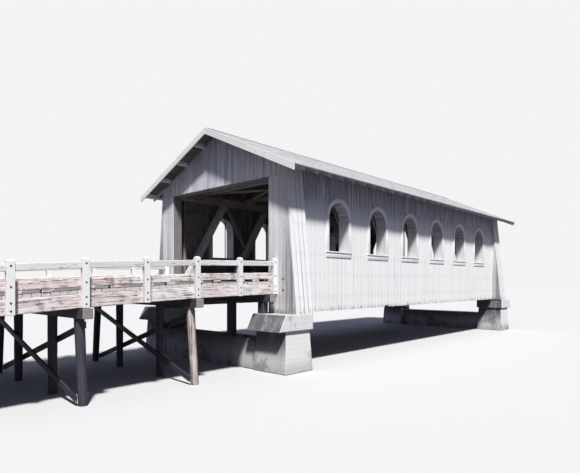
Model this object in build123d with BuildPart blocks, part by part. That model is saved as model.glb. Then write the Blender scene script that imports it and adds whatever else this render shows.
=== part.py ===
from build123d import *
import os
from math import atan2, cos, degrees, pi, radians, sin, sqrt, tan

# A timber covered bridge on two concrete piers, with a six-bay trestle approach at its west end.
# Millimetres, +X along the roadway away from the approach, +Y north, +Z up, Z = 0 at the lowest ground.
# The origin is the middle of the whole length and width, on the ground.

# Covered body: its width follows from the roadway, the trusses and the depth of the walls
body_length = 22960
wall_depth = 550
board = 40
siding_foot = 2250

# Openings for the roadway
portal_width = 6720
portal_clearance = 4230
portal_reveal = 460

# Windows
window_count = 6
end_margin = 3505
window_width = 1450
window_height = 2170
window_above_deck = 1310
lining = 40
lining_gap = 2
staves = 12
siding_cuts = 8
sill_depth = 60
sill_nose = 60
sill_ear = 30
trim_width = 190
trim_depth = 30
apron_height = 200

# Trusses
truss_width = 330
stick = 130
bearing_depth = 120
bearing_margin = 70
bottom_chord_depth = 400
lintel_over_chord = 60
top_chord_depth = 350
end_bearing = 315
brace_depth = 280
counter_depth = 200
counter_width = 60
seat_length = 300
seat_rounds = 40
rod_diameter = 50
rod_mortise = 60
rod_plate_length = 220
rod_plate_depth = 30
nut_radius = 55
nut_depth = 50
post_depth = 200

# Floor
floor_beam_depth = 350
floor_beam_width = 250
stringer_depth = 300
stringer_width = 120
stringer_lines = 9
stringer_set_in = 160
deck_depth = 110
deck_gap = 5
curb_width = 200
curb_height = 220
curb_set_in = 80
curb_chamfer = 25

# Wall framing
girt_depth = 100
girt_height = 150
low_girts = (620, 1550)
girt_under_sill = 10
girt_above_sill = 960
girt_over_head = 40
stud = 140
plate_width = 180
plate_depth = 200
plate_above_chord = 160

# Roof
roof_pitch = 24.5
eave_overhang = 1050
gable_overhang = 600
roof_depth = 60
rafter_depth = 150
rafter_width = 70
rafter_count = 29
rafter_seat = 92
rafter_set_back = 110
ridge_beam_width = 50
ridge_beam_depth = 250
ridge_cap_reach = 180
ridge_cap_depth = 25
lookout_width = 80
lookout_count = 4
lookout_from_ridge = 900
lookout_from_eave = 380
barge_depth = 260
lower_barge_run = 2580
board_gap = 3
tie_width = 200
tie_depth = 190
lateral_width = 120
lateral_depth = 100
lateral_lift = 40
lateral_gap = 5

# Flared corners
flare_length = 1000
flare_reach = 600

# Piers
pier_cap_height = 630
pier_cap_inward = 950
pier_cap_outward = 650
pier_cap_splay = 350
pier_cap_past_wall = 650
pier_cap_width = 1800
pier_step = 100
pier_batter = 90
pier_web_drop = 1050
pier_web_half = 550

# Approach trestle
bay_length = 1920
bays = 6
span_falls = (80, 170, 240)
approach_past_portal = 360
approach_deck_depth = 110
approach_stringer_depth = 400
fascia_width = 120
approach_gap = 10
joint_gap = 4
bent_cap_depth = 300
bent_cap_width = 300
bent_cap_past = 250
landing_set_back = 350
pile_diameter = 300
pile_set_in = 320
pile_spacing = 1900
pile_batter = 0.1
bent_brace_depth = 200
bent_brace_width = 60
rail_post = 200
rail_post_depth = 150
rail_post_rise = 920
rail_post_chamfer = 45
rail_drop = 120
rail_height = 190
rail_width = 100
approach_curb_height = 250
approach_curb_width = 200
scupper_height = 90
scupper_block = 320

# Levels, built up from the pier tops
chord_foot = siding_foot + bearing_depth
chord_top = chord_foot + bottom_chord_depth
floor_beam_top = chord_top + floor_beam_depth
deck_foot = floor_beam_top + stringer_depth
deck_top = deck_foot + deck_depth
lintel = deck_top + portal_clearance
top_chord_foot = lintel - lintel_over_chord
truss_height = top_chord_foot - chord_top
top_chord_top = top_chord_foot + top_chord_depth
plate_top = top_chord_top + plate_above_chord
sill_top = deck_top + window_above_deck
sill_foot = sill_top - sill_depth
spring = sill_top + window_height - window_width / 2

# Places across the bridge
portal_half = portal_width / 2
truss_inner = portal_half + board
truss_outer = truss_inner + truss_width
truss_middle = (truss_inner + truss_outer) / 2
wall_face = truss_outer + wall_depth
wall_back = wall_face - board
girt_back = wall_back - girt_depth
stud_back = girt_back - stud
plate_back = wall_back - plate_width
eave = wall_face + eave_overhang
stringer_pitch = (portal_width - 2 * stringer_set_in) / (stringer_lines - 1)
approach_half_width = portal_half + approach_past_portal
outer_pile_row = approach_half_width - pile_set_in
pile_rows = (outer_pile_row - pile_spacing, outer_pile_row)

# Half-widths of the windows' arches
liner_outer = window_width / 2 + lining
wall_cut = liner_outer + lining_gap
trim_outer = window_width / 2 + trim_width

# Places along the bridge, from the middle of the covered body
half = body_length / 2
inner_half = half - board
approach_length = bay_length * bays
bent_face = bent_cap_width / 2
brace_face = pile_diameter / 2 + bent_brace_width
window_pitch = (body_length - 2 * end_margin) / (window_count - 1)
windows = [(i - (window_count - 1) / 2) * window_pitch for i in range(window_count)]
panel_points = [end_bearing - half] + windows + [half - end_bearing]
panels = list(zip(panel_points[:-1], panel_points[1:]))
stud_offset = wall_cut + stud / 2
beam_places = [x for foot, head in panels for x in (foot + stud_offset, head - stud_offset)]
corner_stud = inner_half - stud / 2

# The body stands east of the origin by half the difference between what passes it at each end
west_reach = half + approach_length + brace_face
east_reach = half + pier_cap_outward + pier_cap_splay
body_middle = (west_reach - east_reach) / 2
across = Plane(origin=(body_middle, 0, 0), x_dir=(0, 1, 0), z_dir=(1, 0, 0))

os.makedirs("parts", exist_ok=True)


def level(height):
    """Horizontal plane at a height, centred on the covered body."""
    return Plane(origin=(body_middle, 0, height))


def south(y):
    """Upright plane facing south, y millimetres south of the middle: sketch x is +X, sketch y is +Z."""
    return Plane(origin=(body_middle, -y, 0), x_dir=(1, 0, 0), z_dir=(0, -1, 0))


def section(x):
    """Upright plane across the bridge facing east: sketch x is +Y, sketch y is +Z."""
    return across.offset(x)


def block(left, right, low, high):
    """Rectangle between two places each way, in the sketch being drawn."""
    with Locations(((left + right) / 2, (low + high) / 2)):
        Rectangle(right - left, high - low)


def outline(*points):
    """Closed straight-sided shape, in the sketch being drawn."""
    with BuildLine() as edge:
        Polyline(*points, close=True)
    make_face(edge.edges())


def write(name, builder):
    """Name a finished node and write it."""
    builder.part.label = name
    export_step(builder.part, f"parts/{name}.step")


def write_sides(name, south_side):
    """Write a south-wall node and its mirror image on the north wall."""
    write(f"south_{name}", south_side)
    with BuildPart() as north_side:
        mirror(south_side.part, about=Plane.XZ)
    write(f"north_{name}", north_side)


def write_ends(name, east_end):
    """Write an east-end node and its mirror image at the west end."""
    write(f"east_{name}", east_end)
    with BuildPart() as west_end:
        mirror(east_end.part, about=across)
    write(f"west_{name}", west_end)


# Roof lines: the rafters' undersides pass through the inner edge of their seats on the wall plates

rise = tan(radians(roof_pitch))
plumb = 1 / cos(radians(roof_pitch))
seat_inner = wall_back - rafter_seat


def under_rafter(y):
    """Height of the rafters' underside, y from the ridge."""
    return plate_top + (seat_inner - abs(y)) * rise


def under_roof(y):
    """Height of the roof deck's underside, y from the ridge."""
    return under_rafter(y) + rafter_depth * plumb


def roof_top(y):
    """Height of the roof's upper surface, y from the ridge."""
    return under_roof(y) + roof_depth * plumb


# Piers: two pedestals joined by a lower wall, each pedestal with a cap splayed on its outer face

cap_foot = siding_foot - pier_cap_height
cap_near = wall_face + pier_cap_past_wall
cap_far = cap_near - pier_cap_width
shaft_middle = (cap_near + cap_far) / 2

with BuildPart() as pier_caps:
    with BuildSketch(south(cap_far)):
        outline(
            (half - pier_cap_inward, cap_foot),
            (half + pier_cap_outward + pier_cap_splay, cap_foot),
            (half + pier_cap_outward, siding_foot),
            (half - pier_cap_inward, siding_foot),
        )
    extrude(amount=pier_cap_width)
    mirror(about=Plane.XZ)
    mirror(about=across)
write("pier_caps", pier_caps)

shaft_length = pier_cap_inward + pier_cap_outward - 2 * pier_step
shaft_width = pier_cap_width - 2 * pier_step
shaft_x = half + (pier_cap_outward - pier_cap_inward) / 2

with BuildPart() as east_pier:
    with BuildSketch(level(0)):
        with Locations((shaft_x, -shaft_middle)):
            Rectangle(shaft_length + 2 * pier_batter, shaft_width + 2 * pier_batter)
    extrude(amount=cap_foot, taper=degrees(atan2(pier_batter, cap_foot)))
    mirror(about=Plane.XZ)
    with BuildSketch(level(0)):
        block(half - pier_web_half, half + pier_web_half, -shaft_middle, shaft_middle)
    extrude(amount=siding_foot - pier_web_drop)
write_ends("pier", east_pier)

with BuildPart() as bearing_blocks:
    with BuildSketch(level(siding_foot)):
        block(
            half - pier_cap_inward + bearing_margin,
            half - bearing_margin,
            -truss_outer - board,
            -truss_inner + board,
        )
    extrude(amount=bearing_depth)
    mirror(about=Plane.XZ)
    mirror(about=across)
write("bearing_blocks", bearing_blocks)


# Howe trusses: paired chords, paired braces leaning to midspan, single counters and upright iron rods


def seat_of(run):
    """Run and rise of an angle block's face, square to the brace that fills a panel of this length."""
    angle = atan2(truss_height, run)
    for _ in range(seat_rounds):
        angle = atan2(truss_height - seat_length * cos(angle), run - seat_length * sin(angle))
    return seat_length * sin(angle), seat_length * cos(angle)


def truss_sticks(low, high):
    """The two sticks of a chord on the south side, running the whole inner length."""
    for near in (truss_inner, truss_outer - stick):
        with BuildSketch(section(-inner_half)) as end_grain:
            block(-near - stick, -near, low, high)
        extrude(end_grain.sketch, amount=2 * inner_half)


with BuildPart() as bottom_chords:
    truss_sticks(chord_foot, chord_top)
    mirror(about=Plane.XZ)
write("bottom_chords", bottom_chords)

with BuildPart() as top_chords:
    truss_sticks(top_chord_foot, top_chord_top)
    mirror(about=Plane.XZ)
write("top_chords", top_chords)


def brace_outline(foot, head, depth):
    """Side view of a brace of this depth, square-ended between two angle blocks."""
    way = 1 if head > foot else -1
    run, rise_of_face = seat_of(abs(head - foot))
    edge = (seat_length - depth) / 2 / seat_length
    outline(
        (foot + way * run * edge, chord_top + rise_of_face * (1 - edge)),
        (foot + way * run * (1 - edge), chord_top + rise_of_face * edge),
        (head - way * run * edge, top_chord_foot - rise_of_face * (1 - edge)),
        (head - way * run * (1 - edge), top_chord_foot - rise_of_face * edge),
    )


def leaning_to_middle(panel):
    """The panel's ends in the order foot, head for a brace whose head is nearer midspan."""
    foot, head = panel
    return (foot, head) if foot + head < 1 else (head, foot)


with BuildPart() as main_braces:
    for near in (truss_inner, truss_outer - stick):
        with BuildSketch(south(near)):
            for panel in panels:
                brace_outline(*leaning_to_middle(panel), brace_depth)
        extrude(amount=stick)
    mirror(about=Plane.XZ)
write("main_braces", main_braces)

with BuildPart() as counterbraces:
    with BuildSketch(south(truss_middle - counter_width / 2)):
        for panel in panels[1:-1]:
            head, foot = leaning_to_middle(panel)
            brace_outline(foot, head, counter_depth)
    extrude(amount=counter_width)
    mirror(about=Plane.XZ)
write("counterbraces", counterbraces)


def angle_block(index, base, way):
    """Side view of the angle block at a panel point, on a chord face at this height, pointing up or down."""
    x = panel_points[index]
    faces = []
    for side, other in ((-1, index - 1), (1, index + 1)):
        if 0 <= other < len(panel_points):
            run, tall = seat_of(abs(panel_points[other] - x))
            faces.append((x + side * run, base + way * tall))
    if len(faces) == 1:
        (toe, peak), = faces
        outline((x, base), (x, peak), (toe, base))
    else:
        (left_toe, left_peak), (right_toe, right_peak) = faces
        peaks = [(x, left_peak), (x, right_peak)]
        if abs(left_peak - right_peak) < 0.01:
            peaks.pop()
        outline((left_toe, base), *peaks, (right_toe, base))


with BuildPart() as angle_blocks:
    with BuildSketch(south(truss_inner)):
        for i in range(len(panel_points)):
            angle_block(i, chord_top, 1)
        for i in range(1, len(panel_points) - 1):
            angle_block(i, top_chord_foot, -1)
    extrude(amount=truss_width)
    with BuildSketch(level(chord_top)):
        with Locations(*[(x, -truss_middle) for x in windows]):
            Rectangle(rod_mortise, rod_mortise)
    extrude(amount=truss_height, mode=Mode.SUBTRACT)
    mirror(about=Plane.XZ)
write("angle_blocks", angle_blocks)

with BuildPart() as truss_rods:
    rod_places = [(x, -truss_middle) for x in windows]
    with BuildSketch(level(chord_foot)):
        with Locations(*rod_places):
            Circle(rod_diameter / 2)
    extrude(amount=top_chord_top - chord_foot)
    for plate in (chord_foot - rod_plate_depth, top_chord_top):
        with BuildSketch(level(plate)):
            with Locations(*rod_places):
                Rectangle(rod_plate_length, truss_width)
        extrude(amount=rod_plate_depth)
    for nut in (chord_foot - rod_plate_depth - nut_depth, top_chord_top + rod_plate_depth):
        with BuildSketch(level(nut)):
            with Locations(*rod_places):
                RegularPolygon(nut_radius, 6)
        extrude(amount=nut_depth)
    mirror(about=Plane.XZ)
write("truss_rods", truss_rods)

with BuildPart() as portal_posts:
    with BuildSketch(level(floor_beam_top)):
        block(inner_half - post_depth, inner_half, -truss_outer, -truss_inner)
    extrude(amount=top_chord_foot - floor_beam_top)
    mirror(about=Plane.XZ)
    mirror(about=across)
write("portal_posts", portal_posts)


# Floor: cross beams on the bottom chords, stringers, plank deck and wheel curbs

with BuildPart() as floor_beams:
    with BuildSketch(level(chord_top)):
        with Locations(*[(x, 0) for x in beam_places]):
            Rectangle(floor_beam_width, 2 * girt_back)
        for end in (-1, 1):
            with Locations((end * (inner_half - post_depth / 2), 0)):
                Rectangle(post_depth, 2 * girt_back)
    extrude(amount=floor_beam_depth)
write("floor_beams", floor_beams)

with BuildPart() as floor_stringers:
    with BuildSketch(level(floor_beam_top)):
        with GridLocations(1, stringer_pitch, 1, stringer_lines):
            Rectangle(2 * inner_half, stringer_width)
    extrude(amount=stringer_depth)
write("floor_stringers", floor_stringers)

with BuildPart() as bridge_deck:
    with BuildSketch(level(deck_foot)):
        Rectangle(body_length, 2 * (portal_half - deck_gap))
    extrude(amount=deck_depth)
write("bridge_deck", bridge_deck)

curb_outer = portal_half - curb_set_in

with BuildPart() as bridge_curbs:
    with BuildSketch(section(-half)):
        block(-curb_outer, curb_width - curb_outer, deck_top, deck_top + curb_height)
    extrude(amount=body_length)
    roadway_edge = bridge_curbs.faces().sort_by(Axis.Z)[-1].edges().filter_by(Axis.X).sort_by(Axis.Y)[-1]
    chamfer(roadway_edge, curb_chamfer)
    mirror(about=Plane.XZ)
write("bridge_curbs", bridge_curbs)


# Wall framing: studs on the floor beam ends, girts across them, plates under the rafters

with BuildPart() as wall_studs:
    with BuildSketch(level(floor_beam_top)):
        for x in beam_places + [-corner_stud, corner_stud]:
            block(x - stud / 2, x + stud / 2, -girt_back, -stud_back)
    extrude(amount=plate_top - plate_depth - floor_beam_top)
    mirror(about=Plane.XZ)
write("wall_studs", wall_studs)

between_windows = list(
    zip([-inner_half] + [x + wall_cut for x in windows], [x - wall_cut for x in windows] + [inner_half])
)

girts = [siding_foot + rise_of_girt for rise_of_girt in low_girts]
girts.append(sill_foot - girt_under_sill - girt_height)
girts.append(spring + liner_outer + girt_over_head)
short_girt = sill_top + girt_above_sill

with BuildPart() as wall_girts:
    with BuildSketch(south(girt_back)):
        for foot in girts:
            block(-inner_half, inner_half, foot, foot + girt_height)
        for left, right in between_windows:
            block(left, right, short_girt, short_girt + girt_height)
    extrude(amount=girt_depth)
    mirror(about=Plane.XZ)
write("wall_girts", wall_girts)

with BuildPart() as wall_plates:
    with BuildSketch(south(plate_back)):
        block(-inner_half, inner_half, plate_top - plate_depth, plate_top)
    extrude(amount=plate_width)
    mirror(about=Plane.XZ)
write("wall_plates", wall_plates)


# Side walls: upright boards, split beside, below and above the arched windows

siding_top = under_rafter(wall_face)

with BuildPart() as boards_between:
    with BuildSketch(south(wall_back)):
        for left, right in between_windows:
            block(left, right, siding_foot, siding_top)
    extrude(amount=board)
write_sides("boards_between_windows", boards_between)

with BuildPart() as boards_below:
    with BuildSketch(south(wall_back)):
        for x in windows:
            block(x - wall_cut, x + wall_cut, siding_foot, sill_foot)
    extrude(amount=board)
write_sides("boards_below_windows", boards_below)

with BuildPart() as boards_above:
    with BuildSketch(south(wall_back)):
        for x in windows:
            block(x - wall_cut, x + wall_cut, spring, siding_top)
        with Locations(*[(x, spring) for x in windows]):
            half_side = 180 / siding_cuts
            RegularPolygon(wall_cut, siding_cuts, False, rotation=half_side, mode=Mode.SUBTRACT)
    extrude(amount=board)
write_sides("boards_above_windows", boards_above)


# Deep boxed windows: staved round-headed linings back to the truss, thick sills and flat trim


def arch(x, radius):
    """Points of a round head from its east spring over to its west one, one at each joint of the staves."""
    turns = [pi * i / staves for i in range(staves + 1)]
    return [(x + radius * cos(turn), spring + radius * sin(turn)) for turn in turns]


def arch_band(x, inner, outer, foot):
    """Round-headed band between two half-widths, open at its foot, in the sketch being drawn."""
    outline(
        (x + outer, foot),
        *arch(x, outer),
        (x - outer, foot),
        (x - inner, foot),
        *reversed(arch(x, inner)),
        (x + inner, foot),
    )


with BuildPart() as window_linings:
    with BuildSketch(south(truss_outer)):
        for x in windows:
            arch_band(x, window_width / 2, liner_outer, sill_top)
    extrude(amount=wall_face - truss_outer)
    mirror(about=Plane.XZ)
write("window_linings", window_linings)

with BuildPart() as window_sills:
    with BuildSketch(level(sill_foot)):
        for x in windows:
            block(x - liner_outer, x + liner_outer, -wall_face, -truss_outer)
            block(x - trim_outer - sill_ear, x + trim_outer + sill_ear, -wall_face - sill_nose, -wall_face)
    extrude(amount=sill_depth)
    mirror(about=Plane.XZ)
write("window_sills", window_sills)

with BuildPart() as window_trim:
    with BuildSketch(south(wall_face)):
        for x in windows:
            arch_band(x, window_width / 2, trim_outer, sill_top)
            block(x - trim_outer, x + trim_outer, sill_foot - apron_height, sill_foot)
    extrude(amount=trim_depth)
    mirror(about=Plane.XZ)
write("window_trim", window_trim)


# Portals: gable boards over the opening, jamb boards beside it, a lined reveal and a header

with BuildPart() as gable:
    with BuildSketch(section(inner_half)):
        outline(
            (-wall_face, lintel),
            (wall_face, lintel),
            (wall_face, under_rafter(wall_face)),
            (0, under_rafter(0)),
            (-wall_face, under_rafter(wall_face)),
        )
    extrude(amount=board)
write_ends("gable_boards", gable)

with BuildPart() as portal_jambs:
    with BuildSketch(section(inner_half)):
        block(-wall_face, -portal_half, siding_foot, lintel)
    extrude(amount=board)
    mirror(about=Plane.XZ)
    mirror(about=across)
write("portal_jambs", portal_jambs)

with BuildPart() as portal_reveals:
    with BuildSketch(level(deck_foot)):
        block(inner_half - portal_reveal, inner_half, -truss_inner, -portal_half)
    extrude(amount=lintel - deck_foot)
    mirror(about=Plane.XZ)
    mirror(about=across)
write("portal_reveals", portal_reveals)

with BuildPart() as portal_soffits:
    with BuildSketch(level(lintel)):
        block(inner_half - portal_reveal, inner_half, -truss_inner, truss_inner)
    extrude(amount=board)
    mirror(about=across)
write("portal_soffits", portal_soffits)

with BuildPart() as portal_headers:
    with BuildSketch(level(lintel + board)):
        block(inner_half - post_depth, inner_half, -truss_inner, truss_inner)
    extrude(amount=top_chord_top - lintel - board)
    mirror(about=across)
write("portal_headers", portal_headers)


# Flared corners: boxed wings that lean out from the eaves to the pier caps

flare_inner = flare_reach - board
flare_scale = (siding_top - siding_foot) / flare_reach
flare_inner_top = siding_foot + flare_inner * flare_scale

with BuildPart() as corner_flares:
    with BuildSketch(section(half - flare_length)):
        outline(
            (-wall_face, siding_top),
            (-wall_face - flare_reach, siding_foot),
            (-wall_face - flare_inner, siding_foot),
            (-wall_face, flare_inner_top),
        )
    extrude(amount=flare_length)
    for x in (half - flare_length, half - board):
        with BuildSketch(section(x)):
            outline(
                (-wall_face, flare_inner_top),
                (-wall_face - flare_inner, siding_foot),
                (-wall_face, siding_foot),
            )
        extrude(amount=board)
    mirror(about=Plane.XZ)
    mirror(about=across)
write("corner_flares", corner_flares)


# Roof frame: tie beams and lateral bracing on the top chords, rafters notched over the plates

with BuildPart() as tie_beams:
    with BuildSketch(level(top_chord_top)):
        with Locations(*[((foot + head) / 2, 0) for foot, head in panels]):
            Rectangle(tie_width, 2 * plate_back)
    extrude(amount=tie_depth)
write("tie_beams", tie_beams)

tie_places = [(foot + head) / 2 for foot, head in panels]
lateral_bays = list(zip(tie_places[:-1], tie_places[1:]))
lateral_half = truss_inner - lateral_width


def lateral(start, end, way, width):
    """Flat diagonal bar across one bay, cut to the faces of its tie beams."""
    left, right = start + tie_width / 2, end - tie_width / 2
    slope = 2 * lateral_half / (right - left)
    cut = width / 2 * sqrt(1 + slope**2)
    low, high = -way * lateral_half, way * lateral_half
    outline((left, low - cut), (right, high - cut), (right, high + cut), (left, low + cut))


with BuildPart() as lateral_bracing:
    with BuildSketch(level(top_chord_top + lateral_lift)):
        for bay in lateral_bays:
            lateral(*bay, -1, lateral_width)
    extrude(amount=lateral_depth)
    with BuildSketch(level(top_chord_top + lateral_lift)):
        for bay in lateral_bays:
            lateral(*bay, 1, lateral_width + 2 * lateral_gap)
    extrude(amount=lateral_depth, mode=Mode.SUBTRACT)
    with BuildSketch(level(top_chord_top + lateral_lift)):
        for bay in lateral_bays:
            lateral(*bay, 1, lateral_width)
    extrude(amount=lateral_depth)
write("lateral_bracing", lateral_bracing)

rafter_end = inner_half - rafter_width / 2
rafter_pitch = 2 * rafter_end / (rafter_count - 1)
rafter_tail = wall_face + eave_overhang - rafter_set_back
ridge_half = ridge_beam_width / 2

with BuildPart() as rafters:
    for i in range(rafter_count):
        with BuildSketch(section(i * rafter_pitch - rafter_end - rafter_width / 2)):
            outline(
                (-rafter_tail, under_roof(rafter_tail)),
                (-rafter_tail, under_rafter(rafter_tail)),
                (-wall_back, under_rafter(wall_back)),
                (-wall_back, plate_top),
                (-seat_inner, plate_top),
                (-ridge_half, under_rafter(ridge_half)),
                (-ridge_half, under_roof(ridge_half)),
            )
        extrude(amount=rafter_width)
    mirror(about=Plane.XZ)
write("rafters", rafters)

with BuildPart() as ridge_beam:
    ridge_beam_top = under_roof(ridge_half)
    with BuildSketch(section(-inner_half)):
        block(-ridge_half, ridge_half, ridge_beam_top - ridge_beam_depth, ridge_beam_top)
    extrude(amount=2 * inner_half)
write("ridge_beam", ridge_beam)

roof_half = half + gable_overhang
lookout_pitch = (eave - lookout_from_eave - lookout_from_ridge) / (lookout_count - 1)

with BuildPart() as gable_lookouts:
    with BuildSketch(section(inner_half)):
        for y in [lookout_from_ridge + i * lookout_pitch for i in range(lookout_count)]:
            near, far = y - lookout_width / 2, y + lookout_width / 2
            outline(
                (-far, under_rafter(far)),
                (-near, under_rafter(near)),
                (-near, under_roof(near)),
                (-far, under_roof(far)),
            )
    extrude(amount=roof_half - inner_half)
    mirror(about=Plane.XZ)
    mirror(about=across)
write("gable_lookouts", gable_lookouts)

with BuildPart() as roof_slope:
    with BuildSketch(section(-roof_half)):
        outline((0, roof_top(0)), (-eave, roof_top(eave)), (-eave, under_roof(eave)), (0, under_roof(0)))
    extrude(amount=2 * roof_half)
write_sides("roof_slope", roof_slope)

with BuildPart() as ridge_cap:
    cap_rise = ridge_cap_depth * plumb
    with BuildSketch(section(-roof_half)):
        outline(
            (-board_gap / 2, roof_top(board_gap / 2)),
            (-board_gap / 2, roof_top(board_gap / 2) + cap_rise),
            (-ridge_cap_reach, roof_top(ridge_cap_reach) + cap_rise),
            (-ridge_cap_reach, roof_top(ridge_cap_reach)),
        )
    extrude(amount=2 * roof_half)
    mirror(about=Plane.XZ)
write("ridge_cap", ridge_cap)

barge_joint = eave - lower_barge_run

with BuildPart() as barge_boards:
    barge_rise = barge_depth * plumb
    with BuildSketch(section(roof_half)):
        for near, far in ((board_gap / 2, barge_joint - board_gap / 2), (barge_joint + board_gap / 2, eave)):
            outline(
                (-near, roof_top(near)),
                (-far, roof_top(far)),
                (-far, roof_top(far) - barge_rise),
                (-near, roof_top(near) - barge_rise),
            )
    extrude(amount=board)
    mirror(about=Plane.XZ)
    mirror(about=across)
write("barge_boards", barge_boards)


# Approach trestle: three spans that fall away from the portal, on bents at every second rail post

span_length = bay_length * bays / len(span_falls)
bents = [-half - span_length * (i + 1) for i in range(len(span_falls))]
approach_start = -half - approach_gap
approach_end = bents[-1] - bent_face
landing = -half - landing_set_back
supports = [-half] + bents
falls = [sum(span_falls[:i]) for i in range(len(span_falls) + 1)]


def fall_at(x):
    """How far the approach deck lies below the bridge deck, x from the middle of the body."""
    span = min(int((-half - x) / span_length), len(span_falls) - 1)
    along = (supports[span] - x) / span_length
    return falls[span] + along * (falls[span + 1] - falls[span])


def sloped(left, right, top, depth):
    """Side view of a bar that follows the deck between two places, its top at this height over the deck."""
    outline(
        (left, deck_top + top - fall_at(left)),
        (right, deck_top + top - fall_at(right)),
        (right, deck_top + top - depth - fall_at(right)),
        (left, deck_top + top - depth - fall_at(left)),
    )


def spans():
    """The west and east ends of each span, short of its neighbours by the joint gap."""
    west_ends = [x + joint_gap / 2 for x in bents[:-1]] + [approach_end]
    east_ends = [approach_start] + [x - joint_gap / 2 for x in bents[:-1]]
    return list(zip(west_ends, east_ends))


with BuildPart() as approach_deck:
    with BuildSketch(south(-approach_half_width)):
        for left, right in spans():
            sloped(left, right, 0, approach_deck_depth)
    extrude(amount=2 * approach_half_width)
write("approach_deck", approach_deck)

with BuildPart() as approach_stringers:
    for i in range(stringer_lines):
        y = (i - (stringer_lines - 1) / 2) * stringer_pitch
        with BuildSketch(south(y - stringer_width / 2)):
            for left, right in spans():
                sloped(left, right, -approach_deck_depth, approach_stringer_depth)
        extrude(amount=stringer_width)
write("approach_stringers", approach_stringers)

with BuildPart() as approach_fascias:
    with BuildSketch(south(approach_half_width - fascia_width)):
        for left, right in spans():
            sloped(left, right, -approach_deck_depth, approach_stringer_depth)
    extrude(amount=fascia_width)
    mirror(about=Plane.XZ)
write("approach_fascias", approach_fascias)

rail_posts_x = [-half - approach_gap - rail_post / 2] + [-half - bay_length * (i + 1) for i in range(bays)]
post_foot_drop = approach_deck_depth + approach_stringer_depth

with BuildPart() as rail_posts:
    with BuildSketch(south(approach_half_width)):
        for x in rail_posts_x:
            left, right = x - rail_post / 2, x + rail_post / 2
            deck_here = deck_top - fall_at(x)
            block(left, right, deck_here - post_foot_drop, deck_here + rail_post_rise)
    extrude(amount=rail_post_depth)
    post_tops = rail_posts.faces().filter_by(Axis.Z).filter_by(lambda face: face.center().Z > deck_top)
    chamfer(post_tops.edges(), rail_post_chamfer)
    mirror(about=Plane.XZ)
write("rail_posts", rail_posts)

rail_top = rail_post_rise - rail_drop
rail_face = approach_half_width + (rail_post_depth - rail_width) / 2

with BuildPart() as top_rails:
    with BuildSketch(south(rail_face)):
        for east, west in zip(rail_posts_x[:-1], rail_posts_x[1:]):
            sloped(west + rail_post / 2, east - rail_post / 2, rail_top, rail_height)
    extrude(amount=rail_width)
    mirror(about=Plane.XZ)
write("top_rails", top_rails)

with BuildPart() as approach_curbs:
    with BuildSketch(south(approach_half_width - approach_curb_width)):
        for left, right in spans():
            sloped(left, right, scupper_height + approach_curb_height, approach_curb_height)
    extrude(amount=approach_curb_width)
    mirror(about=Plane.XZ)
write("approach_curbs", approach_curbs)

scuppers_x = [(east + west) / 2 for east, west in zip(rail_posts_x[:-1], rail_posts_x[1:])]
scuppers_x += [x + (scupper_block + joint_gap) / 2 for x in rail_posts_x[1:]]
scuppers_x.append(approach_start - scupper_block / 2)

with BuildPart() as curb_blocks:
    with BuildSketch(south(approach_half_width - approach_curb_width)):
        for x in scuppers_x:
            sloped(x - scupper_block / 2, x + scupper_block / 2, scupper_height, scupper_height)
    extrude(amount=approach_curb_width)
    mirror(about=Plane.XZ)
write("curb_blocks", curb_blocks)


# Bents: a cap on four piles, the outer pair leaning out, with crossed braces on their two faces


def cap_top(x):
    """Height of a bent cap's top, under the lowest stringer that crosses it."""
    return deck_top - fall_at(x - bent_face) - post_foot_drop


cap_places = [landing] + bents
cap_half_length = approach_half_width + bent_cap_past

with BuildPart() as bent_caps:
    for x in cap_places:
        with BuildSketch(level(cap_top(x) - bent_cap_depth)):
            with Locations((x, 0)):
                Rectangle(bent_cap_width, 2 * cap_half_length)
        extrude(amount=bent_cap_depth)
write("bent_caps", bent_caps)

with BuildPart() as bent_piles:
    for x in bents:
        pile_head = cap_top(x) - bent_cap_depth
        for y, lean in zip(pile_rows, (0, pile_batter)):
            with BuildSketch(level(0)):
                with Locations((x, -y - lean * pile_head)):
                    Circle(pile_diameter / 2)
            extrude(amount=pile_head * sqrt(1 + lean**2), dir=(0, lean, 1))
    mirror(about=Plane.XZ)
write("bent_piles", bent_piles)

with BuildPart() as landing_posts:
    landing_head = cap_top(landing) - bent_cap_depth
    for y, foot in zip(pile_rows, (siding_foot - pier_web_drop, siding_foot)):
        with BuildSketch(level(foot)):
            with Locations((landing, -y)):
                Rectangle(bent_cap_width, bent_cap_width)
        extrude(amount=landing_head - foot)
    mirror(about=Plane.XZ)
write("landing_posts", landing_posts)


def crossed_brace(x, side, way):
    """One plank of a bent's cross, on the west (-1) or east (1) face of its piles."""
    head = cap_top(x) - bent_cap_depth
    reach = pile_rows[1]
    low, high = bent_brace_depth, head - bent_brace_depth
    near = x + side * pile_diameter / 2
    with BuildSketch(section(min(near, near + side * bent_brace_width))) as plank:
        outline(
            (-way * (reach + pile_batter * (head - low)), low - bent_brace_depth / 2),
            (way * reach, high - bent_brace_depth / 2),
            (way * reach, high + bent_brace_depth / 2),
            (-way * (reach + pile_batter * (head - low)), low + bent_brace_depth / 2),
        )
    extrude(plank.sketch, amount=bent_brace_width)


with BuildPart() as bent_braces:
    for x in bents:
        crossed_brace(x, -1, 1)
        crossed_brace(x, 1, -1)
write("bent_braces", bent_braces)
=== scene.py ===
"""Looks of a timber covered bridge with a railed trestle approach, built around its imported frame.

All sizes are in metres, in the frame's axes: +X along the roadway away from the approach, +Y north, +Z up.
"""

import logging
import math
import random
from collections.abc import Callable, Iterator, Sequence
from contextlib import contextmanager
from dataclasses import dataclass, replace
from enum import Enum

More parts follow.
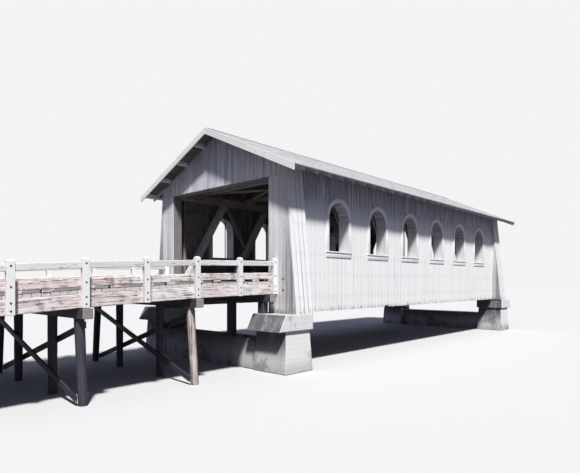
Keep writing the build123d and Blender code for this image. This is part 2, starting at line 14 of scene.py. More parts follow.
import bmesh
import bpy
import numpy as np
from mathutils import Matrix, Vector


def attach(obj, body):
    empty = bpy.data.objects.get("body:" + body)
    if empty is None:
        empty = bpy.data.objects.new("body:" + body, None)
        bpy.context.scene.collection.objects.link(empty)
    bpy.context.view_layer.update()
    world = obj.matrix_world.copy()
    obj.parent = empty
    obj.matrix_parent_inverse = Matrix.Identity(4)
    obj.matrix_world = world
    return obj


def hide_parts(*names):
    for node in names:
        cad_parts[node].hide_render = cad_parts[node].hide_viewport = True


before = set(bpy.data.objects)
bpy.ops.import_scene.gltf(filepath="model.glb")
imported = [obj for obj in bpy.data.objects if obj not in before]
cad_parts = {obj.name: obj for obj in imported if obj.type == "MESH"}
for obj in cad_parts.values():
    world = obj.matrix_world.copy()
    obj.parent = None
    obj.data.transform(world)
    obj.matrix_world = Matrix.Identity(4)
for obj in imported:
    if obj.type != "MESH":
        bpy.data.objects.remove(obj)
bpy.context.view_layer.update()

LOG = logging.getLogger("covered_bridge")
DELIVERED: list[str] = []
FIRST_SEED = 11
GRAIN_SPREAD = 40
HAIR = 0.001
MERGED = 0.0002
FLAT = math.radians(0.6)

Place = tuple[float, float, float]
Colour = tuple[float, float, float]
ALONG, ACROSS, UPRIGHT = (1, 0, 0), (0, 1, 0), (0, 0, 1)


class Slot(Enum):
    """The record's material slots."""

    BOARDS = "white_boards"
    TRIM = "white_trim"
    TRUSS = "truss_timber"
    DECK = "deck_timber"
    TRESTLE = "trestle_timber"
    PEELED = "peeled_timber"
    SHINGLES = "roof_shingles"
    IRON = "iron"
    CONCRETE = "concrete"


class Side(Enum):
    """The bridge's two long sides, as the sign of their y."""

    SOUTH = -1
    NORTH = 1


@dataclass(frozen=True)
class SettingOut:
    """Sizes that several sub-assemblies share, as in the frame."""

    middle: float = 5.365
    half: float = 11.48
    wall: float = 4.28
    board: float = 0.04
    siding_foot: float = 2.25
    siding_top: float = 8.1498
    deck_top: float = 3.53
    deck_depth: float = 0.11
    portal_half: float = 3.36
    lintel: float = 7.76
    sill_foot: float = 4.78
    sill_top: float = 4.84
    spring: float = 6.285
    window_half: float = 0.725
    window_pitch: float = 3.19
    windows: int = 6
    pitch: float = math.radians(24.5)
    plate_top: float = 8.21
    seat_inner: float = 4.148
    rafter_depth: float = 0.15
    roof_half: float = 12.08
    truss_inner: float = 3.40
    truss_outer: float = 3.73
    approach_half: float = 3.72

    @property
    def west(self) -> float:
        """The west portal's outer face."""
        return self.middle - self.half

    @property
    def rafter_peak(self) -> float:
        """Height of the rafters' underside at the ridge."""
        return self.plate_top + self.seat_inner * math.tan(self.pitch)

    @property
    def roof_peak(self) -> float:
        """Height of the sheathing's underside at the ridge."""
        return self.rafter_peak + self.rafter_depth / math.cos(self.pitch)

    def window_places(self) -> list[float]:
        """Middles of the windows of a side."""
        return [self.middle + (i - (self.windows - 1) / 2) * self.window_pitch for i in range(self.windows)]


SET = SettingOut()


@dataclass(frozen=True)
class Block:
    """A straight-sided timber before its edges are worked: middle, size and turn."""

    middle: Place
    size: Place
    turn: Place = (0.0, 0.0, 0.0)

    @classmethod
    def between(cls, corner: Place, opposite: Place) -> "Block":
        """Block between two opposite corners."""
        pairs = list(zip(corner, opposite))
        return cls(tuple((a + b) / 2 for a, b in pairs), tuple(abs(b - a) for a, b in pairs))


def spans(start: float, length: float, count: int, gap: float = 0.0) -> list[tuple[float, float]]:
    """Edges of boards that fill a length side by side.

    Args:
        start: where the first board begins.
        length: what the boards fill.
        count: how many there are.
        gap: open joint between two boards.

    Returns:
        The two edges of each board.
    """
    pitch = length / count
    lefts = [start + i * pitch for i in range(count)]
    return [(left + gap / 2, left + pitch - gap / 2) for left in lefts]


def choose(piece: bpy.types.Object) -> None:
    """Select one object alone and make it active.

    Args:
        piece: the object.
    """
    bpy.ops.object.select_all(action="DESELECT")
    piece.select_set(True)
    bpy.context.view_layer.objects.active = piece


@contextmanager
def editing(piece: bpy.types.Object) -> Iterator[None]:
    """Open a piece's mesh in edit mode, alone and with all of it selected.

    Args:
        piece: the mesh object to open.

    Yields:
        Nothing; the operators inside the block act on the piece.
    """
    choose(piece)
    bpy.ops.object.mode_set(mode="EDIT")
    bpy.ops.mesh.select_all(action="SELECT")
    try:
        yield
    finally:
        bpy.ops.object.mode_set(mode="OBJECT")


def select_vertices(piece: bpy.types.Object, test: Callable[[Vector], bool]) -> None:
    """Select the vertices whose place passes a test, in edit mode.

    Args:
        piece: the piece being edited.
        test: takes a vertex's place and says whether it is wanted.
    """
    bpy.ops.mesh.select_all(action="DESELECT")
    mesh = bmesh.from_edit_mesh(piece.data)
    for vertex in mesh.verts:
        if test(vertex.co):
            vertex.select_set(True)
    mesh.select_flush(True)
    bmesh.update_edit_mesh(piece.data)


def select_edges(piece: bpy.types.Object, test: Callable[[bmesh.types.BMEdge], bool]) -> None:
    """Select the edges that pass a test, in edit mode.

    Args:
        piece: the piece being edited.
        test: takes an edge and says whether it is wanted.
    """
    bpy.ops.mesh.select_all(action="DESELECT")
    for edge in bmesh.from_edit_mesh(piece.data).edges:
        if test(edge):
            edge.select_set(True)
    bmesh.update_edit_mesh(piece.data)


def cut_off(point: Place, normal: Place) -> None:
    """Cut off all that lies past a plane and close the cut, in edit mode."""
    bpy.ops.mesh.select_all(action="SELECT")
    bpy.ops.mesh.bisect(plane_co=point, plane_no=normal, use_fill=True, clear_outer=True)


def close_up() -> None:
    """Turn all faces outwards, in edit mode."""
    bpy.ops.mesh.select_all(action="SELECT")
    bpy.ops.mesh.normals_make_consistent(inside=False)


def new_piece(name: str) -> bpy.types.Object:
    """Start an empty mesh object at the origin.

    Args:
        name: what the object and its mesh are called.

    Returns:
        The new object.
    """
    bpy.ops.object.select_all(action="DESELECT")
    bpy.ops.object.add(type="MESH", location=(0, 0, 0))
    piece = bpy.context.object
    piece.name = name
    piece.data.name = name
    return piece


def finish_with(piece: bpy.types.Object, kind: str, **settings: object) -> None:
    """Add a modifier with these settings and apply it.

    Args:
        piece: the object to change.
        kind: the modifier's type.
        settings: the modifier's own settings by name.
    """
    choose(piece)
    modifier = piece.modifiers.new(kind.lower(), kind)
    for key, value in settings.items():
        setattr(modifier, key, value)
    bpy.ops.object.modifier_apply(modifier=modifier.name)


def ease(piece: bpy.types.Object, width: float, segments: int = 1, **settings: float) -> None:
    """Take the sharpness off a piece's edges by a bevel of this width, or leave them where it is 0."""
    if width:
        finish_with(piece, "BEVEL", width=width, segments=segments, limit_method="ANGLE", **settings)


def smooth(piece: bpy.types.Object, degrees: float) -> None:
    """Shade a piece smooth but for edges sharper than this."""
    choose(piece)
    bpy.ops.object.shade_smooth_by_angle(angle=math.radians(degrees))


def joinery(name: str, blocks: Sequence[Block], bevel: float = 0.0) -> bpy.types.Object:
    """Cut one timber per block and ease their edges.

    Args:
        name: the new piece's name.
        blocks: the timbers.
        bevel: width of the worked edge, or 0 for sharp ones.

    Returns:
        The new object, all timbers in one mesh.
    """
    piece = new_piece(name)
    with editing(piece):
        for block in blocks:
            bpy.ops.mesh.primitive_cube_add(
                size=1, location=block.middle, rotation=block.turn, scale=block.size
            )
    ease(piece, bevel)
    return piece


def repeat(piece: bpy.types.Object, count: int, step: Place) -> None:
    """Copy a piece's mesh in a row, a constant step apart."""
    offset = {"use_relative_offset": False, "use_constant_offset": True, "constant_offset_displace": step}
    finish_with(piece, "ARRAY", count=count, **offset)


def reflect(piece: bpy.types.Object, lengthwise: bool, crosswise: bool) -> None:
    """Add the mirror image at the other end, on the other side, or both.

    Args:
        piece: the object to change.
        lengthwise: mirror about the middle of the covered body's length.
        crosswise: mirror about the bridge's centreline.
    """
    line = bpy.data.objects.new("mirror_line", None)
    line.location = (SET.middle, 0, 0)
    bpy.context.scene.collection.objects.link(line)
    bpy.context.view_layer.update()
    axes = (lengthwise, crosswise, False)
    finish_with(piece, "MIRROR", mirror_object=line, use_axis=axes, use_mirror_merge=False)
    bpy.data.objects.remove(line)


def joined(name: str, pieces: Sequence[bpy.types.Object]) -> bpy.types.Object:
    """Join several pieces into one under a new name.

    Args:
        name: the new name.
        pieces: the objects, of which the first one stays.

    Returns:
        The joined object.
    """
    bpy.ops.object.select_all(action="DESELECT")
    for piece in pieces:
        piece.select_set(True)
    bpy.context.view_layer.objects.active = pieces[0]
    bpy.ops.object.join()
    pieces[0].name = name
    return pieces[0]


def from_node(node: str, name: str, bevel: float, segments: int = 1) -> bpy.types.Object:
    """Copy a CAD node's mesh, merge it and work its edges.

    Args:
        node: the CAD node.
        name: the new piece's name.
        bevel: width of the worked edge.
        segments: cuts across the worked edge.

    Returns:
        The new object.
    """
    piece = bpy.data.objects.new(name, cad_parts[node].data.copy())
    bpy.context.scene.collection.objects.link(piece)
    piece.data.name = name
    piece.data.materials.clear()
    with editing(piece):
        bpy.ops.mesh.remove_doubles(threshold=MERGED)
        bpy.ops.mesh.dissolve_limited(angle_limit=FLAT)
    ease(piece, bevel, segments)
    return piece


def roughen(piece: bpy.types.Object, step: float, amount: float, seed: int) -> None:
    """Cut a piece's long edges into short ones and let its surface wander a little.

    Args:
        piece: the object to change.
        step: length of the short edges.
        amount: how far a vertex may move.
        seed: start of the random moves.
    """

    def parts(edge: bmesh.types.BMEdge) -> int:
        """How many short edges this one makes, or 0 to leave it whole."""
        length = edge.calc_length()
        return round(length / step) if length > 2 * step else 0

    with editing(piece):
        for count in sorted({parts(edge) for edge in bmesh.from_edit_mesh(piece.data).edges} - {0}):
            select_edges(piece, lambda edge: parts(edge) == count)
            bpy.ops.mesh.subdivide(number_cuts=count - 1)
        bpy.ops.mesh.select_all(action="SELECT")
        bpy.ops.transform.vertex_random(offset=amount, uniform=1.0, seed=seed)


def islands_of(mesh: bpy.types.Mesh) -> np.ndarray:
    """Number the loose parts of a mesh.

    Args:
        mesh: the mesh.

    Returns:
        The part's number for each vertex.
    """
    edges = np.empty(len(mesh.edges) * 2, np.int32)
    mesh.edges.foreach_get("vertices", edges)
    first, second = edges.reshape(-1, 2).T
    label = np.arange(len(mesh.vertices))
    while True:
        lowest = np.minimum(label[first], label[second])
        update = label.copy()
        np.minimum.at(update, first, lowest)
        np.minimum.at(update, second, lowest)
        update = update[update]
        if np.array_equal(update, label):
            return np.unique(label, return_inverse=True)[1]
        label = update


def mark_grain(piece: bpy.types.Object, seed: int, up: Place, along: Place | None) -> None:
    """Store for each vertex where it lies in its own timber, so that grain follows every timber.

    The attribute grain is the place along, across and through the timber with a random start, place is the
    same from -1 to 1, and tone is one random number a timber.

    Args:
        piece: the object, its mesh finished.
        seed: start of the random numbers.
        up: direction that the timbers' widths are level against.
        along: the timbers' common direction, or None to find each one's own.
    """
    mesh = piece.data
    chance = np.random.default_rng(seed)
    places = np.empty(len(mesh.vertices) * 3, np.float32)
    mesh.vertices.foreach_get("co", places)
    places = places.reshape(-1, 3).astype(float)
    island = islands_of(mesh)
    order = np.argsort(island, kind="stable")
    grain, place, tone = np.zeros_like(places), np.zeros_like(places), np.zeros(len(places))
    for group in np.split(order, np.cumsum(np.bincount(island))[:-1]):
        own = places[group]
        if along is None:
            long = np.linalg.svd(own - own.mean(0), full_matrices=False)[2][0]
        else:
            long = np.array(along, float)
        side = np.cross(up, long)
        if np.linalg.norm(side) < 0.2:
            side = np.cross(long, (0.0, 1.0, 0.0))
        side /= np.linalg.norm(side)
        local = own @ np.array([long, side, np.cross(long, side)]).T
        low, high = local.min(0), local.max(0)
        place[group] = (local - (low + high) / 2) / np.maximum((high - low) / 2, 1e-6)
        grain[group] = local + chance.uniform(0, GRAIN_SPREAD, 3)
        tone[group] = chance.random()
    for name, values in (("grain", grain), ("place", place)):
        layer = mesh.attributes.new(name, "FLOAT_VECTOR", "POINT")
        layer.data.foreach_set("vector", values.astype(np.float32).ravel())
    layer = mesh.attributes.new("tone", "FLOAT", "POINT")
    layer.data.foreach_set("value", tone.astype(np.float32))


class Signal:
    """A value that varies over a surface; Python's arithmetic on it adds Math nodes."""

    def __init__(self, graph: "Graph", socket: bpy.types.NodeSocket | None) -> None:
        """Wrap an output socket of a graph."""
        self.graph = graph
        self.socket = socket

    def _math(self, operation: str, *values: "Signal | float") -> "Signal":
        """Add a Math node with these values."""
        return self.graph.node("ShaderNodeMath", {"operation": operation}, dict(enumerate(values)))

    def __add__(self, other: "Signal | float") -> "Signal":
        """Sum."""
        return self._math("ADD", self, other)

    def __sub__(self, other: "Signal | float") -> "Signal":
        """Difference."""
        return self._math("SUBTRACT", self, other)

    def __rsub__(self, other: float) -> "Signal":
        """Reflected difference."""
        return self._math("SUBTRACT", other, self)

    def __mul__(self, other: "Signal | float") -> "Signal":
        """Product."""
        return self._math("MULTIPLY", self, other)

    def __truediv__(self, other: "Signal | float") -> "Signal":
        """Quotient."""
        return self._math("DIVIDE", self, other)

    def __abs__(self) -> "Signal":
        """Size without sign."""
        return self._math("ABSOLUTE", self)

    __radd__ = __add__
    __rmul__ = __mul__

    def larger(self, other: "Signal | float") -> "Signal":
        """The larger of two values."""
        return self._math("MAXIMUM", self, other)

    def smaller(self, other: "Signal | float") -> "Signal":
        """The smaller of two values."""
        return self._math("MINIMUM", self, other)

    def part(self) -> "Signal":
        """The part after the decimal point."""
        return self._math("FRACT", self)

    def rising(self, low: float, high: float) -> "Signal":
        """Smooth step from 0 at the low value to 1 at the high one."""
        sockets = {"Value": self, "From Min": low, "From Max": high}
        return self.graph.node("ShaderNodeMapRange", {"interpolation_type": "SMOOTHSTEP"}, sockets)

    def falling(self, low: float, high: float) -> "Signal":
        """Smooth step from 1 at the low value to 0 at the high one."""
        return 1 - self.rising(low, high)


class Graph:
    """The nodes of one material or world."""

    def __init__(self, tree: bpy.types.NodeTree) -> None:
        """Empty a node tree and take it over."""
        self.tree = tree
        tree.nodes.clear()

    def node(self, kind: str, settings: dict, sockets: dict, output: int | str = 0) -> Signal:
        """Add a node.

        Args:
            kind: the node's type.
            settings: its own settings, set first.
            sockets: its inputs by name or number, as values or Signals.
            output: which output to return.

        Returns:
            The chosen output.
        """
        node = self.tree.nodes.new(kind)
        for key, value in settings.items():
            setattr(node, key, value)
        for key, value in sockets.items():
            if isinstance(value, Signal):
                self.tree.links.new(value.socket, node.inputs[key])
            elif node.inputs[key].type == "RGBA":
                node.inputs[key].default_value = (*value, 1.0)
            else:
                node.inputs[key].default_value = value
        return Signal(self, node.outputs[output] if len(node.outputs) else None)

    def attribute(self, name: str, output: str = "Vector") -> Signal:
        """The mesh's own attribute."""
        return self.node("ShaderNodeAttribute", {"attribute_name": name}, {}, output)

    def place(self) -> Signal:
        """Object coordinates, which are the frame's own."""
        return self.node("ShaderNodeTexCoord", {}, {}, "Object")

    def normal(self) -> tuple[Signal, Signal, Signal]:
        """The three parts of the direction that the surface faces."""
        return self.split(self.node("ShaderNodeNewGeometry", {}, {}, "Normal"))

    def facing_up(self, low: float = 0.45, high: float = 0.9) -> Signal:
        """1 where the surface faces up, 0 where it is upright."""
        return self.normal()[2].rising(low, high)

    def shown(self) -> Signal:
        """Tell what is looked at from what throws light.

        Returns:
            1 for what the camera, metal and glass see, 0 for the light that is thrown on the object.
        """
        shown = self.node("ShaderNodeLightPath", {}, {}, "Is Camera Ray")
        outputs = shown.socket.node.outputs
        for ray in ("Is Glossy Ray", "Is Transmission Ray"):
            shown = shown.larger(Signal(self, outputs[ray]))
        return shown

    def split(self, vector: Signal) -> tuple[Signal, Signal, Signal]:
        """Take a vector apart.

        Args:
            vector: the vector.

        Returns:
            Its x, y and z.
        """
        x = self.node("ShaderNodeSeparateXYZ", {}, {0: vector}, 0)
        outputs = x.socket.node.outputs
        return x, Signal(self, outputs[1]), Signal(self, outputs[2])

    def stretched(self, vector: Signal, by: Place) -> Signal:
        """A vector with each part multiplied."""
        return self.node("ShaderNodeVectorMath", {"operation": "MULTIPLY"}, {0: vector, 1: by})

    def noise(self, vector: Signal, scale: float | Place, detail: float, rough: float) -> Signal:
        """Cloudy noise of about 0 to 1.

        Args:
            vector: where the noise is read.
            scale: times a metre, all ways or each way.
            detail: how many finer layers it has.
            rough: how strong the finer layers are.

        Returns:
            The noise.
        """
        if isinstance(scale, tuple):
            vector, scale = self.stretched(vector, scale), 1.0
        sockets = {"Vector": vector, "Scale": scale, "Detail": detail, "Roughness": rough}
        return self.node("ShaderNodeTexNoise", {}, sockets)

    def cells(self, vector: Signal, scale: Place) -> Signal:
        """Distance to the nearest of scattered points."""
        sockets = {"Vector": self.stretched(vector, scale), "Scale": 1.0, "Randomness": 1.0}
        return self.node("ShaderNodeTexVoronoi", {"feature": "F1"}, sockets, "Distance")

    def blend(
        self, factor: Signal | float, first: Signal | Colour, second: Signal | Colour, how: str = "MIX"
    ) -> Signal:
        """Mix two colours: the first at a factor of 0, the second at 1, in the way of the blend type."""
        settings = {"data_type": "RGBA", "blend_type": how, "clamp_factor": True}
        return self.node("ShaderNodeMix", settings, {0: factor, 6: first, 7: second}, 2)

    def grey(self, value: Signal) -> Signal:
        """A grey colour of this value."""
        return self.node("ShaderNodeCombineXYZ", {}, {0: value, 1: value, 2: value})

    def surface(
        self, colour: Signal, roughness: Signal, height: Signal, depth: float, **constants: float
    ) -> None:
        """Finish the graph with a shader.

        Args:
            colour: base colour.
            roughness: roughness.
            height: relief, in units of depth.
            depth: metres of relief for a height of 1.
            constants: other sockets of the shader by name, with spaces as underscores.
        """
        normal = self.node("ShaderNodeBump", {}, {"Strength": 1.0, "Distance": depth, "Height": height})
        sockets: dict = {"Base Color": colour, "Roughness": roughness, "Normal": normal}
        sockets.update({key.replace("_", " "): value for key, value in constants.items()})
        shader = self.node("ShaderNodeBsdfPrincipled", {}, sockets)
        self.node("ShaderNodeOutputMaterial", {}, {"Surface": shader})


@dataclass(frozen=True)
class Finish:
    """A named surface finish, made once as a material."""

    name: str

    def material(self) -> bpy.types.Material:
        """Find the finish's material, or make it on first use.

        Returns:
            The material.
        """
        found = bpy.data.materials.get(self.name)
        if found:
            return found
        material = bpy.data.materials.new(self.name)
        material.use_nodes = True
        self.draw(Graph(material.node_tree))
        return material

    def draw(self, graph: Graph) -> None:
        """Lay out the finish's nodes."""
        raise NotImplementedError


@dataclass(frozen=True)
class BareTimber(Finish):
    """Unpainted timber with grain along each piece, knots, drying cracks and worn ends."""

    pale: Colour = (0.42, 0.36, 0.30)
    dark: Colour = (0.15, 0.115, 0.085)
    stain: Colour = (0.10, 0.085, 0.075)
    crack: Colour = (0.02, 0.017, 0.015)
    end_grain: Colour = (0.12, 0.10, 0.09)
    variety: float = 0.30
    stained: float = 0.35
    edge: float = 0.25
    end: float = 0.3
    end_at: float = 0.965
    rough: float = 0.78
    depth: float = 0.004
    contrast: float = 0.2
    band_scale: Place = (0.9, 15.0, 15.0)
    fibre_scale: Place = (5.0, 130.0, 130.0)
    crack_scale: Place = (0.45, 24.0, 24.0)
    knot_scale: Place = (1.1, 5.5, 5.5)
    cloud_scale: float | Place = 0.55
    # Where set, painted shadow: each piece darkens below this place along it, as under the butts of the
    # course above.
    butt_shadow_at: float | None = None
    litter_from: float | None = None
    fade: float = 0.35

    def draw(self, graph: Graph) -> None:
        """Lay out the finish's nodes.

        Args:
            graph: the material's nodes, still empty.
        """
        grain, place = graph.attribute("grain"), graph.place()
        tone = graph.attribute("tone", "Fac")
        along, across, _ = graph.split(graph.attribute("place"))
        bands = graph.noise(grain, self.band_scale, 5.0, 0.62)
        fibres = graph.noise(grain, self.fibre_scale, 3.0, 0.55)
        clouds = graph.noise(place, self.cloud_scale, 5.0, 0.6)
        cracks = abs(graph.noise(grain, self.crack_scale, 2.0, 0.4) - 0.5).falling(0.0, 0.014)
        cracks = cracks * clouds.rising(0.42, 0.58)
        knots = graph.cells(grain, self.knot_scale).falling(0.05, 0.13)
        light = bands.rising(0.5 - self.contrast, 0.5 + self.contrast) * 0.6 + fibres.rising(0.3, 0.7) * 0.4
        colour = graph.blend(light, self.dark, self.pale)
        shade = tone * self.variety + (1 - self.variety / 2)
        colour = graph.blend(1.0, colour, graph.grey(shade), "MULTIPLY")
        colour = graph.blend(clouds.rising(0.46, 0.66) * self.stained, colour, self.stain)
        worn = abs(across).rising(0.86, 1.0) * self.edge * bands.rising(0.3, 0.6)
        colour = graph.blend(worn, colour, self.stain)
        # Painted shadow under the butts of the course above.
        if self.butt_shadow_at is not None:
            butt_shadow = along.falling(self.butt_shadow_at, self.butt_shadow_at + self.fade) * 0.75
            colour = graph.blend(butt_shadow, colour, self.stain)
        if self.litter_from is not None:
            side = abs(graph.split(place)[1]).rising(self.litter_from, self.litter_from + self.fade)
            littered = side * graph.facing_up() * (0.5 + clouds)
            colour = graph.blend(littered.smaller(0.9), colour, self.stain)
        ends = abs(along).rising(self.end_at, 1.0) * self.end * fibres.rising(0.2, 0.6)
        colour = graph.blend(ends, colour, self.end_grain)
        colour = graph.blend(cracks.larger(knots * 0.8) * 0.85, colour, self.crack)
        height = bands * 0.6 + fibres * 0.3 - cracks * 0.9 - knots * 0.2
        graph.surface(colour, self.rough + light * 0.15, height, self.depth, Specular_IOR_Level=0.3)


@dataclass(frozen=True)
class WhitePaint(Finish):
    """Old white paint on boards, with grain showing through, dirt in the joints and peeling at the feet."""

    paint: Colour = (0.86, 0.86, 0.85)
    dull: Colour = (0.60, 0.60, 0.66)
    bare: Colour = (0.34, 0.315, 0.30)
    bare_dark: Colour = (0.13, 0.115, 0.105)
    dirt: Colour = (0.27, 0.25, 0.26)
    top: Colour = (0.45, 0.44, 0.43)
    rust: Colour = (0.30, 0.19, 0.14)
    nail: Colour = (0.08, 0.06, 0.05)
    foot: float = SET.siding_foot
    splash: float = 0.55
    peel: float = 0.66
    streaks: float = 0.35
    joint: float = 0.55
    joint_at: float = 0.93
    joint_high: float = 0.45
    nail_rows: tuple[float, ...] = ()
    nail_at: float = 0.66
    half_board: float = 0.15
    bare_inside: bool = False
    skin: float = 0.030
    variety: float = 0.10
    # Upward faces turn towards the top colour: partly weathering, partly painted shade that holds back the
    # strong light from above.
    top_wear_and_shade: float = 0.75
    # Painted shade: a grey-blue band that darkens towards the top between these two heights, as under eaves,
    # rakes and window heads.
    painted_shade: float = 0.0
    painted_shade_from: float = 6.0
    painted_shade_to: float = 7.3
    painted_shade_colour: Colour = (0.33, 0.33, 0.40)
    blush: Colour | None = None
    streak_scale: Place = (0.55, 13.0, 13.0)
    fibre_scale: Place = (4.0, 110.0, 110.0)
    flake_scale: Place = (3.2, 26.0, 26.0)

    def nails(self, across: Signal, height: Signal) -> tuple[Signal, Signal]:
        """Nail heads and the rust that runs from them.

        Args:
            across: place across the board, -1 to 1.
            height: height over the ground.

        Returns:
            Masks of the heads and of the rust.
        """
        off = (abs(across) - self.nail_at) * self.half_board
        heads = rust = None
        for row in self.nail_rows:
            below = row - height
            spot = (off * off + below * below).falling(0.00003, 0.00007)
            run = below.rising(-0.01, 0.01) * below.falling(0.02, 0.26) * abs(off).falling(0.003, 0.014)
            heads = spot if heads is None else heads.larger(spot)
            rust = run if rust is None else rust.larger(run)
        return heads, rust

    def draw(self, graph: Graph) -> None:
        """Lay out the finish's nodes.

        Args:
            graph: the material's nodes, still empty.
        """
        grain, place = graph.attribute("grain"), graph.place()
        tone = graph.attribute("tone", "Fac")
        across = graph.split(graph.attribute("place"))[1]
        x, y, z = graph.split(place)
        streak = graph.noise(grain, self.streak_scale, 5.0, 0.62)
        fibres = graph.noise(grain, self.fibre_scale, 3.0, 0.55)
        clouds = graph.noise(place, 0.5, 5.0, 0.62)
        flakes = graph.noise(grain, self.flake_scale, 6.0, 0.7)
        low = z.falling(self.foot + 0.02, self.foot + self.splash) if self.splash else clouds * 0.0
        edges = abs(across).rising(self.joint_at, 0.995)

        dull = streak.rising(0.48, 0.72) * self.streaks + clouds.rising(0.5, 0.7) * 0.10 + tone * self.variety
        colour = graph.blend(dull, self.paint, self.dull)
        if self.blush:
            colour = graph.blend(clouds.rising(0.30, 0.60) * 0.8 + 0.15, colour, self.blush)
        # Painted shade: streaky blend towards the grey-blue colour, rising with height.
        if self.painted_shade:
            shade_band = z.rising(self.painted_shade_from, self.painted_shade_to) * (0.35 + streak.rising(0.3, 0.62) * 0.75)
            colour = graph.blend((shade_band * self.painted_shade).smaller(0.9), colour, self.painted_shade_colour)

        grime = edges * self.joint * (0.10 + streak * (0.3 + tone * 1.6))
        lower = z.falling(self.foot + 1.4, self.foot + 4.2)
        grime = grime * (self.joint_high + (1 - self.joint_high) * lower)
        grime = grime + low * 0.30 * flakes.rising(0.42, 0.66)
        colour = graph.blend(grime.smaller(0.85), colour, self.dirt)
        # Grey tops: partly weathering, partly painted shade against the light from above.
        top_wear_and_shade_mask = graph.facing_up() * self.top_wear_and_shade * (0.55 + flakes * 0.6)
        colour = graph.blend(top_wear_and_shade_mask.smaller(0.9), colour, self.top)

        peeled = flakes + low * 0.14 + edges * 0.05 + clouds * 0.06 - 0.03
        peeled = peeled.rising(self.peel, self.peel + 0.035)
        light = streak.rising(0.3, 0.7) * 0.6 + fibres.rising(0.3, 0.7) * 0.4
        if self.bare_inside:
            wall, end = SET.wall - self.skin, SET.half - self.skin
            inner = abs(y).falling(wall, wall + 0.002)
            inner = inner * abs(x - SET.middle).falling(end, end + 0.002)
            peeled = peeled.larger(inner)
        colour = graph.blend(peeled, colour, graph.blend(light, self.bare_dark, self.bare))
        height = fibres * 0.25 + streak * 0.3 - peeled * 0.35
        if self.nail_rows:
            heads, rust = self.nails(across, z)
            colour = graph.blend(rust * (0.25 + flakes * 0.5), colour, self.rust)
            colour = graph.blend(heads, colour, self.nail)
            height = height - heads * 0.4
        graph.surface(colour, 0.58 + peeled * 0.25 + fibres * 0.08, height, 0.003, Specular_IOR_Level=0.35)


@dataclass(frozen=True)
class Concrete(Finish):
    """Board-marked concrete under old limewash, stained from the top down and damp at the foot, with painted
    shade on the end faces.
    """

    wash: Colour = (0.80, 0.80, 0.79)
    body: Colour = (0.40, 0.39, 0.38)
    stain: Colour = (0.16, 0.15, 0.16)
    end_face_shade: Colour = (0.085, 0.083, 0.10)
    lift: float = 0.19
    run_scale: Place = (2.6, 2.6, 0.22)
    pit_scale: Place = (16.0, 16.0, 16.0)
    board_scale: Place = (3.0, 3.0, 40.0)

    def draw(self, graph: Graph) -> None:
        """Lay out the finish's nodes.

        Args:
            graph: the material's nodes, still empty.
        """
        place = graph.place()
        z = graph.split(place)[2]
        clouds = graph.noise(place, 1.1, 6.0, 0.62)
        sand = graph.noise(place, 55.0, 3.0, 0.6)
        runs = graph.noise(place, self.run_scale, 5.0, 0.6)
        pits = graph.cells(place, self.pit_scale).falling(0.06, 0.14) * clouds.rising(0.5, 0.6)
        marks = graph.noise(place, self.board_scale, 3.0, 0.5)
        seams = abs((z / self.lift).part() - 0.5).rising(0.47, 0.497)
        lost = (clouds + sand * 0.15 + z.falling(0.1, 1.2) * 0.12).rising(0.66, 0.78)
        colour = graph.blend(lost, self.wash, self.body)
        colour = graph.blend(runs.rising(0.54, 0.78) * 0.35, colour, self.stain)
        damp = (z.falling(0.0, 0.7) * 0.4 + seams * 0.25).larger(pits * 0.8)
        colour = graph.blend(damp, colour, self.stain)
        colour = graph.blend(sand * 0.18, colour, self.body)
        # Upward faces turn to the darker body colour: partly weathering, partly painted shade that holds back
        # the strong light from above.
        colour = graph.blend(graph.facing_up(0.2, 0.6) * 0.75, colour, self.body)
        # Painted shade: streaky dark blue-grey on the faces that look along the bridge, from a little above
        # the foot up.
        shade_streaks = (runs * 0.6 + clouds * 0.4).rising(0.34, 0.50) * 0.35 + 0.57
        end_face = abs(graph.normal()[0]).rising(0.3, 0.65)
        colour = graph.blend(shade_streaks * z.rising(0.2, 1.4) * end_face, colour, self.end_face_shade)
        height = sand * 0.2 + marks * 0.25 + clouds * 0.4 - pits * 0.8 - lost * 0.15 + seams * 0.5
        graph.surface(colour, 0.82 + clouds * 0.12, height, 0.006, Specular_IOR_Level=0.25)


@dataclass(frozen=True)
class Iron(Finish):
    """Dark wrought iron with a rusted skin."""

    dark: Colour = (0.06, 0.055, 0.055)
    rust: Colour = (0.20, 0.085, 0.045)
    bright_rust: Colour = (0.32, 0.16, 0.08)

    def draw(self, graph: Graph) -> None:
        """Lay out the finish's nodes.

        Args:
            graph: the material's nodes, still empty.
        """
        place = graph.place()
        scale = graph.noise(place, 30.0, 6.0, 0.65)
        patches = graph.noise(place, 4.0, 4.0, 0.6)
        rusted = (scale * 0.5 + patches * 0.5).rising(0.44, 0.58)
        colour = graph.blend(rusted, self.dark, self.rust)
        colour = graph.blend(scale.rising(0.6, 0.75) * 0.5, colour, self.bright_rust)
        graph.surface(colour, 0.5 + rusted * 0.35, scale * 0.6 + patches * 0.3, 0.0012, Metallic=0.35)


@dataclass(frozen=True)
class PaleFloor(Finish):
    """Plain pale studio floor that the camera sees light and that throws little light back."""

    seen: Colour = (0.57, 0.57, 0.57)
    clouded: Colour = (0.52, 0.52, 0.53)
    thrown: Colour = (0.09, 0.09, 0.10)

    def draw(self, graph: Graph) -> None:
        """Lay out the finish's nodes.

        Args:
            graph: the material's nodes, still empty.
        """
        clouds = graph.noise(graph.place(), 0.15, 3.0, 0.5)
        tint = graph.blend(clouds * 0.12, self.seen, self.clouded)
        colour = graph.blend(graph.shown(), self.thrown, tint)
        graph.surface(colour, 0.9 + clouds * 0.05, clouds, 0.002, Specular_IOR_Level=0.1)


